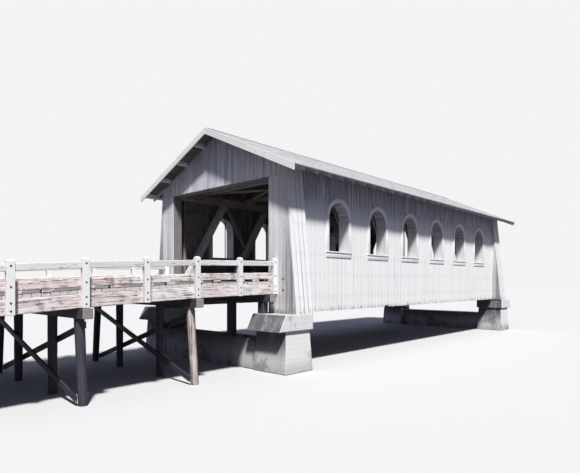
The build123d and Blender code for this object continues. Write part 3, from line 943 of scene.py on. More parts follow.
GIRT_ROWS = (2.945, 3.875, 4.695, 5.875, 7.165, 8.02)
# On the siding, wing and jamb boards, the grey-blue band that darkens upwards is painted shade under the
# eaves and rakes.
SIDING = WhitePaint(
    "white_siding", paint=(0.89, 0.89, 0.885), nail_rows=GIRT_ROWS, bare_inside=True, splash=0.3,
    streaks=0.22, joint=0.9, variety=0.05, painted_shade=0.85, painted_shade_colour=(0.18, 0.18, 0.29),
)
WINGS = WhitePaint(
    "white_wing_boards", paint=(0.85, 0.85, 0.855), dirt=(0.15, 0.14, 0.16), nail_rows=GIRT_ROWS,
    splash=0.4, streaks=0.40, joint=1.5, joint_at=0.76, painted_shade=0.25,
)
JAMBS = WhitePaint(
    "white_jamb_boards", paint=(0.88, 0.88, 0.89), dull=(0.52, 0.53, 0.63), nail_rows=GIRT_ROWS,
    bare_inside=True, splash=0.3, streaks=0.42, joint=0.75, variety=0.12, painted_shade=0.2,
)
# On the gable the strong blue-grey dull streaks are partly painted shade, and the band that darkens towards
# the rakes is painted shade.
GABLE = WhitePaint(
    "white_gable", paint=(0.84, 0.84, 0.88), dull=(0.34, 0.34, 0.45), nail_rows=(8.1, 8.9),
    half_board=0.07, bare_inside=True, splash=0.0, joint=0.8, joint_at=0.80, streaks=0.85, variety=0.45,
    painted_shade=0.75, painted_shade_from=7.9, painted_shade_to=9.4, painted_shade_colour=(0.30, 0.31, 0.42),
)
# Dark grey paint on the portal reveals and soffit is painted shade inside the portals.
PORTAL_SHADE_PAINT = WhitePaint(
    "grimy_reveal_paint", paint=(0.26, 0.25, 0.27), dull=(0.13, 0.125, 0.15), splash=0.0, joint=0.6,
    peel=0.54, streaks=0.8,
)
# The rafter paint is mid grey: painted shade that keeps the sunlit tails from showing white.
RAFTER_TAIL_SHADE = WhitePaint(
    "white_rafter_tails", paint=(0.62, 0.62, 0.62), splash=0.0, joint=0.2, joint_at=0.9,
    bare_inside=True, peel=0.63,
)
TRIM = WhitePaint(
    "white_trim_paint", paint=(0.90, 0.90, 0.90), bare=(0.34, 0.31, 0.30), bare_dark=(0.13, 0.11, 0.10),
    splash=0.0, joint=0.30, peel=0.70, streaks=0.12,
)
# On the window linings the band that darkens towards the heads is painted shade.
LINING = replace(
    TRIM, name="white_lining", paint=(0.88, 0.88, 0.88), joint=0.35, joint_at=0.96, peel=0.69,
    streaks=0.25, painted_shade=0.8, painted_shade_from=5.6, painted_shade_to=6.7, painted_shade_colour=(0.22, 0.22, 0.29),
)
ROOF_EDGE = replace(
    TRIM, name="white_roof_edge", paint=(0.86, 0.86, 0.85), joint=0.2, peel=0.68, streaks=0.2,
    top_wear_and_shade=0.3,
)
RAIL = replace(
    TRIM, name="white_rail_paint", paint=(0.86, 0.86, 0.85), joint=0.35, joint_at=0.88, peel=0.64,
    streaks=0.3,
)
PEELED = WhitePaint(
    "peeling_pale_paint", paint=(0.88, 0.86, 0.86), dull=(0.66, 0.60, 0.62), blush=(0.82, 0.70, 0.68),
    bare=(0.26, 0.235, 0.23), bare_dark=(0.05, 0.045, 0.045), splash=0.0, peel=0.545, streaks=0.45,
    joint=0.3, joint_at=0.94, variety=0.12, top_wear_and_shade=0.45, flake_scale=(1.1, 55.0, 55.0),
)
TRUSS = BareTimber(
    "aged_truss_timber", pale=(0.62, 0.58, 0.55), dark=(0.30, 0.27, 0.25), end_grain=(0.25, 0.2, 0.16)
)
# The near-white colour of the main braces is partly limewash and partly painted light, so they show pale
# inside the shaded body.
BRACES = BareTimber(
    "limewashed_braces", pale=(0.86, 0.85, 0.84), dark=(0.52, 0.49, 0.48), stain=(0.30, 0.27, 0.26),
    variety=0.2,
)
FRAMING = BareTimber("aged_wall_framing", pale=(0.38, 0.345, 0.325), dark=(0.15, 0.13, 0.12))
ROUGH = BareTimber("rough_sheathing", pale=(0.26, 0.22, 0.19), dark=(0.10, 0.08, 0.07), variety=0.45)
DECKING = BareTimber(
    "worn_deck_planks", pale=(0.27, 0.255, 0.245), dark=(0.10, 0.092, 0.087), stain=(0.055, 0.05, 0.048),
    variety=0.4, edge=0.6,
)
APPROACH = replace(
    DECKING, name="approach_planks", end_grain=(0.80, 0.74, 0.73), end=1.0, end_at=0.9955, litter_from=3.2
)
CREOSOTE = BareTimber(
    "creosoted_timber", pale=(0.080, 0.076, 0.105), dark=(0.018, 0.017, 0.026),
    stain=(0.012, 0.011, 0.016), variety=0.5, stained=0.4, rough=0.62, end_grain=(0.34, 0.31, 0.29),
    end=1.1, end_at=0.992,
)
GREYED = BareTimber(
    "greyed_timber", pale=(0.78, 0.69, 0.66), dark=(0.11, 0.08, 0.07), contrast=0.07,
    stain=(0.07, 0.055, 0.05), crack=(0.01, 0.008, 0.008), stained=0.6, depth=0.012,
)
# The pale end colour lightens the shingles' butts: painted light on faces that lie in shade.
SHINGLES = BareTimber(
    "silvered_shingles", pale=(0.52, 0.515, 0.54), dark=(0.37, 0.365, 0.38), stain=(0.25, 0.245, 0.26),
    crack=(0.14, 0.14, 0.15), end_grain=(0.66, 0.655, 0.69), variety=0.42, stained=0.25,
    cloud_scale=(1.6, 0.22, 0.22), butt_shadow_at=-0.55, edge=0.5, end=0.5, end_at=0.93, rough=0.8,
)
CONCRETE = Concrete("limewashed_concrete")
IRON = Iron("rusted_iron")


def deliver(
    piece: bpy.types.Object,
    finish: Finish,
    slot: Slot,
    *nodes: str,
    up: Place = UPRIGHT,
    along: Place | None = None,
) -> None:
    """Dress a finished piece and hand it to the frame.

    Args:
        piece: the object, at the origin with its mesh in place.
        finish: what it is finished with.
        slot: the record's slot for it; not used.
        nodes: the CAD nodes that it stands for.
        up: direction that its timbers' widths are level against.
        along: its timbers' common direction, if they have one.
    """
    choose(piece)
    mark_grain(piece, FIRST_SEED + len(DELIVERED), up, along)
    piece.data.materials.clear()
    piece.data.materials.append(finish.material())
    if nodes:
        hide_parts(*nodes)
    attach(piece, "root")
    DELIVERED.append(piece.name)
    LOG.info("%s: %d faces, %s", piece.name, len(piece.data.polygons), finish.name)


def deliver_node(node: str, name: str, finish: Finish, slot: Slot, bevel: float, segments: int = 1) -> None:
    """Copy a CAD node, work its edges and deliver the copy in the node's place."""
    deliver(from_node(node, name, bevel, segments), finish, slot, node)


@dataclass
class SideWalls:
    """Upright boards of the two long walls, cut round the windows' linings."""

    boards: int = 75
    gap: float = 0.008
    inset: float = 0.004
    raggedness: float = 0.02
    notched: float = 0.07
    notch: float = 0.07
    cut: float = 0.768
    cut_sides: int = 96
    edge: float = 0.004
    seed: int = 3

    def cutter(self, side: Side) -> bpy.types.Object:
        """Round-headed solids that cut the windows' holes.

        Args:
            side: which wall.

        Returns:
            The cutting object, to be removed after use.
        """
        piece = new_piece("window_cutter")
        y = side.value * (SET.wall - SET.board / 2)
        with editing(piece):
            for x in SET.window_places():
                bpy.ops.mesh.primitive_cylinder_add(
                    vertices=self.cut_sides,
                    radius=self.cut,
                    depth=4 * SET.board,
                    location=(x, y, SET.spring),
                    rotation=(math.pi / 2, 0, 0),
                )
            select_vertices(piece, lambda place: place.z < SET.spring - HAIR)
            bpy.ops.transform.resize(value=(1, 1, 0), center_override=(0, 0, SET.sill_foot))
            bpy.ops.mesh.select_all(action="SELECT")
            bpy.ops.mesh.remove_doubles(threshold=MERGED)
            close_up()
        return piece

    def build(self, side: Side) -> None:
        """Build and dress one wall.

        Args:
            side: which wall.
        """
        chance = random.Random(self.seed + side.value)
        half = SET.half - SET.board
        blocks = []
        for left, right in spans(SET.middle - half, 2 * half, self.boards):
            outer = side.value * (SET.wall - chance.uniform(0, self.inset))
            gap = self.gap * chance.uniform(0.6, 1.4) / 2
            foot = SET.siding_foot + chance.uniform(0, self.raggedness) * chance.random()
            if chance.random() < self.notched:
                foot += self.notch
            inner = side.value * (SET.wall - SET.board)
            blocks.append(Block.between((left + gap, outer, foot), (right - gap, inner, SET.siding_top)))
        name = side.name.lower()
        piece = joinery(f"{name}_siding", blocks, self.edge)
        cutter = self.cutter(side)
        finish_with(piece, "BOOLEAN", operation="DIFFERENCE", object=cutter, solver="EXACT")
        bpy.data.objects.remove(cutter)
        nodes = [f"{name}_boards_{where}_windows" for where in ("between", "below", "above")]
        deliver(piece, SIDING, Slot.BOARDS, *nodes, along=UPRIGHT)


@dataclass
class Gables:
    """Narrow upright boards over each portal, cut to the rakes."""

    boards: int = 60
    gap: float = 0.006
    inset: float = 0.006
    raggedness: float = 0.03
    edge: float = 0.003
    seed: int = 8

    def build(self) -> None:
        """Build the west gable and then the east one."""
        for name, end in (("west", -1), ("east", 1)):
            chance = random.Random(self.seed + end)
            blocks = []
            for left, right in spans(-SET.wall, 2 * SET.wall, self.boards, self.gap):
                outer = SET.middle + end * (SET.half - chance.uniform(0, self.inset))
                inner = SET.middle + end * (SET.half - SET.board)
                foot = SET.lintel + chance.uniform(0, self.raggedness)
                blocks.append(Block.between((outer, left, foot), (inner, right, SET.rafter_peak)))
            piece = joinery(f"{name}_gable_siding", blocks, self.edge)
            with editing(piece):
                for way in (-1, 1):
                    slope = (0, way * math.sin(SET.pitch), math.cos(SET.pitch))
                    cut_off((SET.middle, 0, SET.rafter_peak), slope)
            deliver(piece, GABLE, Slot.BOARDS, f"{name}_gable_boards", along=UPRIGHT)


@dataclass
class Portals:
    """Boards beside each opening, its lined reveals and soffit, and the header over it."""

    jamb_boards: int = 5
    reveal_boards: int = 3
    reveal: float = 0.46
    gap: float = 0.006
    inset: float = 0.004
    raggedness: float = 0.015
    edge: float = 0.004
    header_edge: float = 0.012
    seed: int = 21

    def build(self) -> None:
        """Build both portals."""
        chance = random.Random(self.seed)
        back = SET.west + SET.board
        jambs, reveals, soffits = [], [], []
        for left, right in spans(-SET.wall, SET.wall - SET.portal_half, self.jamb_boards, self.gap):
            face = SET.west + chance.uniform(0, self.inset)
            foot = SET.siding_foot + chance.uniform(0, self.raggedness)
            jambs.append(Block.between((face, left, foot), (back, right, SET.lintel)))
        for left, right in spans(back, self.reveal, self.reveal_boards, self.gap):
            low = (left, -SET.truss_inner, SET.deck_top - SET.deck_depth)
            reveals.append(Block.between(low, (right, -SET.portal_half, SET.lintel)))
            low = (left, -SET.truss_inner, SET.lintel)
            soffits.append(Block.between(low, (right, SET.truss_inner, SET.lintel + SET.board)))
        # The reveal and soffit boards take the dark paint that is painted shade.
        for name, blocks, finish, both_sides, along in (
            ("jamb", jambs, JAMBS, True, UPRIGHT),
            ("reveal", reveals, PORTAL_SHADE_PAINT, True, UPRIGHT),
            ("soffit", soffits, PORTAL_SHADE_PAINT, False, ACROSS),
        ):
            piece = joinery(f"portal_{name}_boards", blocks, self.edge)
            reflect(piece, True, both_sides)
            deliver(piece, finish, Slot.BOARDS, f"portal_{name}s", along=along)
        deliver_node("portal_headers", "header_beams", FRAMING, Slot.TRUSS, self.header_edge)


@dataclass
class CornerFlares:
    """Boarded wings that lean out from the eaves to the pier caps at the four corners."""

    length: float = 1.0
    reach: float = 0.6
    boards: int = 4
    end_boards: int = 4
    gap: float = 0.008
    inset: float = 0.003
    edge: float = 0.004
    end_edge: float = 0.003
    seed: int = 33

    def skin(self) -> bpy.types.Object:
        """Make the leaning outer boards of the south-west wing.

        Returns:
            Their object.
        """
        blocks = []
        for left, right in spans(SET.west, self.length, self.boards, self.gap):
            low = (left, -SET.wall, SET.siding_foot)
            blocks.append(Block.between(low, (right, -SET.wall + SET.board, SET.siding_top)))
        piece = joinery("flare_skin", blocks, self.edge)
        with editing(piece):
            select_vertices(piece, lambda place: place.z < SET.siding_foot + 0.1)
            bpy.ops.transform.translate(value=(0, -self.reach, 0))
            cut_off((0, -SET.wall - HAIR, 0), ACROSS)
        return piece

    def ends(self) -> bpy.types.Object:
        """Make the upright boards that close the south-west wing's two ends.

        Returns:
            Their object.
        """
        chance = random.Random(self.seed)
        width = self.reach - SET.board
        start = -SET.wall - width
        blocks = []
        for x in (SET.west, SET.west + self.length - SET.board):
            for left, right in spans(start, width, self.end_boards, self.gap):
                low = (x + chance.uniform(0, self.inset), left, SET.siding_foot)
                blocks.append(Block.between(low, (x + SET.board, right, SET.siding_top)))
        piece = joinery("flare_ends", blocks, self.end_edge)
        lean = Vector((0, SET.siding_foot - SET.siding_top, self.reach)).normalized()
        with editing(piece):
            cut_off((0, start, SET.siding_foot), lean)
        return piece

    def build(self) -> None:
        """Build the south-west corner and mirror it to the others."""
        wings = joined("corner_wing_boards", [self.skin(), self.ends()])
        reflect(wings, True, True)
        deliver(wings, WINGS, Slot.BOARDS, "corner_flares")


@dataclass(frozen=True)
class Arch:
    """Cross-section of a round-headed frame: its radii and the y of its two faces."""

    inner: float
    outer: float
    near: float
    far: float


@dataclass
class Windows:
    """Round-headed boxed windows: linings back to the truss, flat trim and thick sills."""

    lining: float = 0.04
    trim: float = 0.19
    trim_depth: float = 0.03
    apron: float = 0.2
    head_pieces: int = 3
    steps: int = 10
    joint: float = math.radians(0.35)
    leg_joint: float = 0.002
    lining_edge: float = 0.003
    trim_edge: float = 0.004
    sill_edge: float = 0.010

    def head(self, name: str, arch: Arch) -> bpy.types.Object:
        """Round head of curved pieces, spun from their cross-section.

        Args:
            name: the piece's name.
            arch: its cross-section.

        Returns:
            The object, over the first window of the south wall.
        """
        x = SET.window_places()[0]
        turn = math.pi / self.head_pieces
        spot = (x + (arch.inner + arch.outer) / 2, (arch.near + arch.far) / 2, SET.spring)
        section = (arch.outer - arch.inner, abs(arch.far - arch.near), 1)
        heads = []
        for i in range(self.head_pieces):
            piece = new_piece(f"{name}_{i}")
            with editing(piece):
                bpy.ops.mesh.primitive_plane_add(size=1, location=spot)
                bpy.ops.transform.resize(value=section, center_override=spot)
                bpy.ops.mesh.spin(
                    steps=self.steps, angle=turn - self.joint, center=(x, 0, SET.spring), axis=ACROSS
                )
                close_up()
            choose(piece)
            bpy.context.scene.cursor.location = (x, 0, SET.spring)
            bpy.ops.object.origin_set(type="ORIGIN_CURSOR")
            piece.rotation_euler = (0, -i * turn - self.joint / 2, 0)
            bpy.ops.object.transform_apply(location=True, rotation=True, scale=True)
            heads.append(piece)
        return joined(name, heads)

    def legs(self, name: str, arch: Arch, extra: list[Block]) -> bpy.types.Object:
        """Upright pieces under a round head.

        Args:
            name: the piece's name.
            arch: their cross-section.
            extra: other timbers that go with them.

        Returns:
            The object, at the first window of the south wall.
        """
        x = SET.window_places()[0]
        blocks = list(extra)
        for way in (-1, 1):
            low = (x + way * arch.inner, arch.near, SET.sill_top)
            blocks.append(Block.between(low, (x + way * arch.outer, arch.far, SET.spring - self.leg_joint)))
        return joinery(name, blocks)

    def build(self) -> None:
        """Build one window and repeat it along both walls."""
        x = SET.window_places()[0]
        edge = SET.window_half + self.trim
        face = -SET.wall - self.trim_depth
        low = (x - edge, face, SET.sill_foot - self.apron)
        apron = Block.between(low, (x + edge, -SET.wall, SET.sill_foot))
        lining = Arch(SET.window_half, SET.window_half + self.lining, -SET.truss_outer, -SET.wall)
        trim = Arch(SET.window_half, edge, -SET.wall, face)
        for name, node, arch, extra, bevel, segments, finish in (
            ("lining", "window_linings", lining, [], self.lining_edge, 1, LINING),
            ("trim", "window_trim", trim, [apron], self.trim_edge, 2, TRIM),
        ):
            parts = [self.legs(f"{name}_legs", arch, extra), self.head(f"{name}_head", arch)]
            piece = joined(f"window_{name}_boards", parts)
            ease(piece, bevel, segments)
            repeat(piece, SET.windows, (SET.window_pitch, 0, 0))
            reflect(piece, False, True)
            smooth(piece, degrees=25)
            deliver(piece, finish, Slot.TRIM, node)
        deliver_node("window_sills", "window_sill_planks", TRIM, Slot.TRIM, self.sill_edge, 2)


@dataclass
class Roof:
    """Sheathing, shingles, ridge boards, rafters, lookouts and barge boards."""

    exposure: float = 0.18
    shingle: float = 0.237
    widths: tuple[float, float] = (0.11, 0.24)
    last_widths: float = 0.28
    gaps: tuple[float, float] = (0.003, 0.007)
    drops: tuple[float, float] = (-0.006, 0.004)
    skew: float = 0.006
    rock: float = 0.001
    near_butt: float = 0.03
    thickness: float = 0.009
    bedding: float = 0.010
    courses: int = 32
    bundle_courses: int = 4
    bundles: int = 8
    sheathing: int = 29
    sheathing_depth: float = 0.028
    sheathing_gap: float = 0.006
    sheathing_edge: float = 0.002
    lengths: int = 5
    stagger: float = 0.25
    end_gap: float = 0.002
    eave_boards: int = 8
    eave_width: float = 0.09
    eave_depth: float = 0.015
    eave_edge: float = 0.003
    slab: float = 0.06
    run: float = 5.828
    cap: float = 0.19
    cap_depth: float = 0.024
    cap_boards: int = 7
    cap_gap: float = 0.004
    cap_edge: float = 0.004
    seed: int = 40

    def lay(self, piece: bpy.types.Object, side: Side) -> None:
        """Turn a piece that was made flat, ridge along x and slope down -y, onto its slope.

        Args:
            piece: the object to move.
            side: which slope.
        """
        choose(piece)
        if side is Side.NORTH:
            piece.scale = (1, -1, 1)
        piece.rotation_euler = (-side.value * SET.pitch, 0, 0)
        piece.location = (SET.middle, 0, SET.roof_peak)
        bpy.ops.object.transform_apply(location=True, rotation=True, scale=True)
        if side is Side.NORTH:
            with editing(piece):
                close_up()

    def shingles(self, side: Side) -> bpy.types.Object:
        """Shingles of one slope, made flat: one bundle repeated along and down the slope.

        Args:
            side: which slope.

        Returns:
            The object, before it is laid.
        """
        chance = random.Random(self.seed + side.value)
        length = 2 * SET.roof_half / self.bundles
        tilt = math.atan(self.thickness / self.exposure)
        rise = math.sin(tilt) * self.shingle
        bed = self.sheathing_depth + self.bedding + self.thickness / 2
        blocks = []
        for course in range(self.bundle_courses):
            middle = -self.shingle / 2 - course * self.exposure
            places = [0.0]
            while length - places[-1] > self.last_widths:
                places.append(places[-1] + chance.uniform(*self.widths))
            places.append(length)
            for left, right in zip(places[:-1], places[1:]):
                drop = chance.uniform(*self.drops)
                height = bed + rise / 2 + chance.uniform(-self.rock, self.rock)
                spot = ((left + right) / 2 - SET.roof_half, middle + drop, height)
                size = (right - left - chance.uniform(*self.gaps), self.shingle, self.thickness)
                blocks.append(Block(spot, size, (-tilt, 0, chance.uniform(-self.skew, self.skew))))
        piece = joinery(f"{side.name.lower()}_shingles", blocks)

        def upper_butt(place: Vector) -> bool:
            """Whether a vertex is on the upper edge of a butt."""
            past = (self.near_butt - self.shingle - place.y) % self.exposure
            return place.z > bed + rise and past < 2 * self.near_butt

        with editing(piece):
            select_vertices(piece, upper_butt)
            bpy.ops.transform.translate(value=(0, self.thickness, 0))
        repeat(piece, self.bundles, (length, 0, 0))
        repeat(piece, self.courses // self.bundle_courses, (0, -self.bundle_courses * self.exposure, 0))
        return piece

    def boards(self, side: Side) -> tuple[bpy.types.Object, bpy.types.Object]:
        """Sheathing of one slope in staggered lengths, and its painted eave boards, made flat.

        Args:
            side: which slope.

        Returns:
            The sheathing and the eave boards, before they are laid.
        """
        chance = random.Random(self.seed + 7 * side.value)
        half, whole = SET.roof_half, 2 * SET.roof_half
        rows = spans(-self.run, self.run, self.sheathing, self.sheathing_gap)
        plain, painted = [], []
        for low, high in reversed(rows):
            ends = (k + chance.uniform(-self.stagger, self.stagger) for k in range(1, self.lengths))
            cuts = sorted(-half + whole * end / self.lengths for end in ends)
            for left, right in zip([-half, *cuts], [*cuts, half]):
                near, far = left + self.end_gap, right - self.end_gap
                block = Block.between((near, low, 0.0), (far, high, self.sheathing_depth))
                (painted if low == rows[0][0] else plain).append(block)
        for left, right in spans(-half, whole, self.eave_boards, self.end_gap):
            near = (left, -self.run, self.sheathing_depth + HAIR)
            far = (right, self.eave_width - self.run, self.sheathing_depth + self.eave_depth)
            painted.append(Block.between(near, far))
        name = side.name.lower()
        sheathing = joinery(f"{name}_sheathing", plain, self.sheathing_edge)
        return sheathing, joinery(f"{name}_eave_boards", painted, self.eave_edge)

    def ridge(self) -> None:
        """Boards along both sides of the ridge, over the shingles."""
        both = []
        for side in Side:
            blocks = []
            for left, right in spans(-SET.roof_half, 2 * SET.roof_half, self.cap_boards, self.cap_gap):
                low = (left, -self.cap, self.slab)
                blocks.append(Block.between(low, (right, -HAIR, self.slab + self.cap_depth)))
            piece = joinery(f"ridge_boards_{side.name.lower()}", blocks, self.cap_edge)
            self.lay(piece, side)
            both.append(piece)
        deliver(joined("ridge_boards", both), SHINGLES, Slot.SHINGLES, "ridge_cap")

    def build(self) -> None:
        """Build the whole roof."""
        for side in Side:
            node = f"{side.name.lower()}_roof_slope"
            slope = (0, -side.value * math.sin(SET.pitch), math.cos(SET.pitch))
            down = (0, side.value * math.cos(SET.pitch), -math.sin(SET.pitch))
            pieces = (self.shingles(side), *self.boards(side))
            for piece in pieces:
                self.lay(piece, side)
            for piece, finish, along in zip(pieces, (SHINGLES, ROUGH, ROOF_EDGE), (down, ALONG, ALONG)):
                deliver(piece, finish, Slot.SHINGLES, node, up=slope, along=along)
        self.ridge()
        deliver_node("rafters", "rafter_pairs", RAFTER_TAIL_SHADE, Slot.TRIM, 0.005)
        deliver_node("gable_lookouts", "lookout_blocks", ROOF_EDGE, Slot.TRIM, 0.005)
        deliver_node("barge_boards", "barge_planks", ROOF_EDGE, Slot.TRIM, 0.006, 2)
        deliver_node("ridge_beam", "ridge_plank", TRUSS, Slot.TRUSS, 0.006)


@dataclass
class TimberFrame:
    """Trusses, floor, wall framing and ties, each timber with its edges eased."""

    edge: float = 0.010
    plank: float = 0.26
    plank_edge: float = 0.006
    curb_edge: float = 0.008
    rod_edge: float = 0.003
    gap: float = 0.008
    side_gap: float = 0.005
    wear: float = 0.006
    raggedness: float = 0.012
    seed: int = 52

    def build(self) -> None:
        """Build and dress the framing and the bridge's deck."""
        for node, name, finish in (
            ("bottom_chords", "bottom_chord_sticks", TRUSS),
            ("top_chords", "top_chord_sticks", TRUSS),
            ("main_braces", "main_brace_sticks", BRACES),
            ("counterbraces", "counterbrace_sticks", TRUSS),
            ("angle_blocks", "angle_block_set", TRUSS),
            ("portal_posts", "portal_post_set", TRUSS),
            ("floor_beams", "floor_beam_set", TRUSS),
            ("floor_stringers", "floor_stringer_set", TRUSS),
            ("wall_studs", "wall_stud_set", FRAMING),
            ("wall_girts", "wall_girt_set", FRAMING),
            ("wall_plates", "wall_plate_set", FRAMING),
            ("tie_beams", "tie_beam_set", TRUSS),
            ("lateral_bracing", "lateral_brace_set", TRUSS),
        ):
            deliver_node(node, name, finish, Slot.TRUSS, self.edge)
        rods = from_node("truss_rods", "truss_rod_set", self.rod_edge)
        smooth(rods, degrees=25)
        deliver(rods, IRON, Slot.IRON, "truss_rods")
        self.deck()

    def deck(self) -> None:
        """Cross planks and wheel curbs of the covered roadway."""
        chance = random.Random(self.seed)
        length = 2 * SET.half
        blocks = []
        for left, right in spans(SET.west, length, round(length / self.plank), self.gap):
            top = SET.deck_top - chance.uniform(0, self.wear)
            reach = SET.portal_half - self.side_gap - chance.uniform(0, self.raggedness)
            low = (left, -reach, SET.deck_top - SET.deck_depth)
            blocks.append(Block.between(low, (right, reach, top)))
        planks = joinery("bridge_deck_planks", blocks, self.plank_edge)
        deliver(planks, DECKING, Slot.DECK, "bridge_deck", along=ACROSS)
        deliver_node("bridge_curbs", "wheel_curbs", DECKING, Slot.DECK, self.curb_edge)


@dataclass
class Approach:
    """The approach roadway: planks, stringers, fascias, curbs on blocks, posts and rails."""

    span: float = 3.84
    bay: float = 1.92
    bays: int = 6
    falls: tuple[float, ...] = (0.0, 0.08, 0.25, 0.49)
    start_gap: float = 0.01
    end_past: float = 0.15
    plank: float = 0.24
    plank_edge: float = 0.006
    gap: float = 0.010
    wear: float = 0.008
    bedding: float = 0.006
    raggedness: float = 0.03
    post: float = 0.2
    post_depth: float = 0.15
    bolt_rises: tuple[float, ...] = (0.745, 0.21, -0.2, -0.4)
    bolt_sizes: tuple[tuple[float, float], ...] = ((0.031, 0.006), (0.018, 0.022))
    bolt_sides: int = 10
    bolt_edge: float = 0.002
    jamb_rises: tuple[float, ...] = (0.09, -0.35)
    jamb_bolt: tuple[float, float] = (0.045, 0.02)
    jamb_bolt_in: float = 0.10
    seed: int = 61
    rough_seed: int = 71

    def fall_at(self, x: float) -> float:
        """How far the approach deck lies below the bridge deck.

        Args:
            x: place along the bridge.

        Returns:
            The fall.
        """
        along = (SET.west - x) / self.span
        span = max(0, min(int(along), len(self.falls) - 2))
        return self.falls[span] + (along - span) * (self.falls[span + 1] - self.falls[span])

    def planks(self) -> None:
        """Cross planks that follow the three falling spans."""
        chance = random.Random(self.seed)
        start = SET.west - self.start_gap
        end = SET.west - (len(self.falls) - 1) * self.span - self.end_past
        near = 0.1
        blocks = []
        for left, right in spans(end, start - end, round((start - end) / self.plank)):
            x = (left + right) / 2
            slope = math.atan((self.fall_at(x - near) - self.fall_at(x + near)) / (2 * near))
            thick = SET.deck_depth - chance.uniform(0, self.wear)
            middle = (x, 0, SET.deck_top - self.fall_at(x) - SET.deck_depth + thick / 2)
            reach = SET.approach_half - chance.uniform(0, self.raggedness)
            size = (right - left - self.gap, 2 * reach, thick - self.bedding)
            blocks.append(Block(middle, size, (0, -slope, 0)))
        piece = joinery("approach_deck_planks", blocks, self.plank_edge)
        deliver(piece, APPROACH, Slot.DECK, "approach_deck", along=ACROSS)

    def post_places(self) -> list[float]:
        """Middles of the rail posts of a side, from the portal out."""
        first = SET.west - self.start_gap - self.post / 2
        return [first] + [SET.west - self.bay * (i + 1) for i in range(self.bays)]

    def bolts(self) -> None:
        """Bolt heads with washers on the posts' outer faces, and two on each jamb by the rail's end."""
        y = -SET.approach_half - self.post_depth
        heads = [
            ((x, y, SET.deck_top - self.fall_at(x) + rise), size, (math.pi / 2, 0, 0))
            for x in self.post_places()
            for rise in self.bolt_rises
            for size in self.bolt_sizes
        ]
        for rise in self.jamb_rises:
            spot = (SET.west, -SET.wall + self.jamb_bolt_in, SET.deck_top + rise)
            heads.append((spot, self.jamb_bolt, (0, math.pi / 2, 0)))
        piece = new_piece("approach_bolts")
        with editing(piece):
            for spot, (radius, depth), turn in heads:
                bpy.ops.mesh.primitive_cylinder_add(
                    vertices=self.bolt_sides, radius=radius, depth=depth, location=spot, rotation=turn
                )
        ease(piece, self.bolt_edge, angle_limit=math.radians(50))
        reflect(piece, False, True)
        deliver(piece, IRON, Slot.IRON)

    def build(self) -> None:
        """Build and dress the approach roadway."""
        self.planks()
        for node, name, step, amount in (
            ("approach_fascias", "approach_fascia_beams", 0.16, 0.004),
            ("approach_curbs", "approach_curb_timbers", 0.12, 0.006),
            ("curb_blocks", "approach_curb_blocks", 0.08, 0.005),
        ):
            piece = from_node(node, name, 0.018)
            roughen(piece, step, amount, self.rough_seed)
            deliver(piece, PEELED, Slot.PEELED, node)
        posts = from_node("rail_posts", "approach_rail_posts", 0.012, 2)
        deliver(posts, RAIL, Slot.TRIM, "rail_posts", along=UPRIGHT)
        deliver_node("top_rails", "approach_top_rails", RAIL, Slot.TRIM, 0.014, 2)
        deliver_node("approach_stringers", "approach_stringer_set", CREOSOTE, Slot.TRESTLE, 0.008)
        self.bolts()


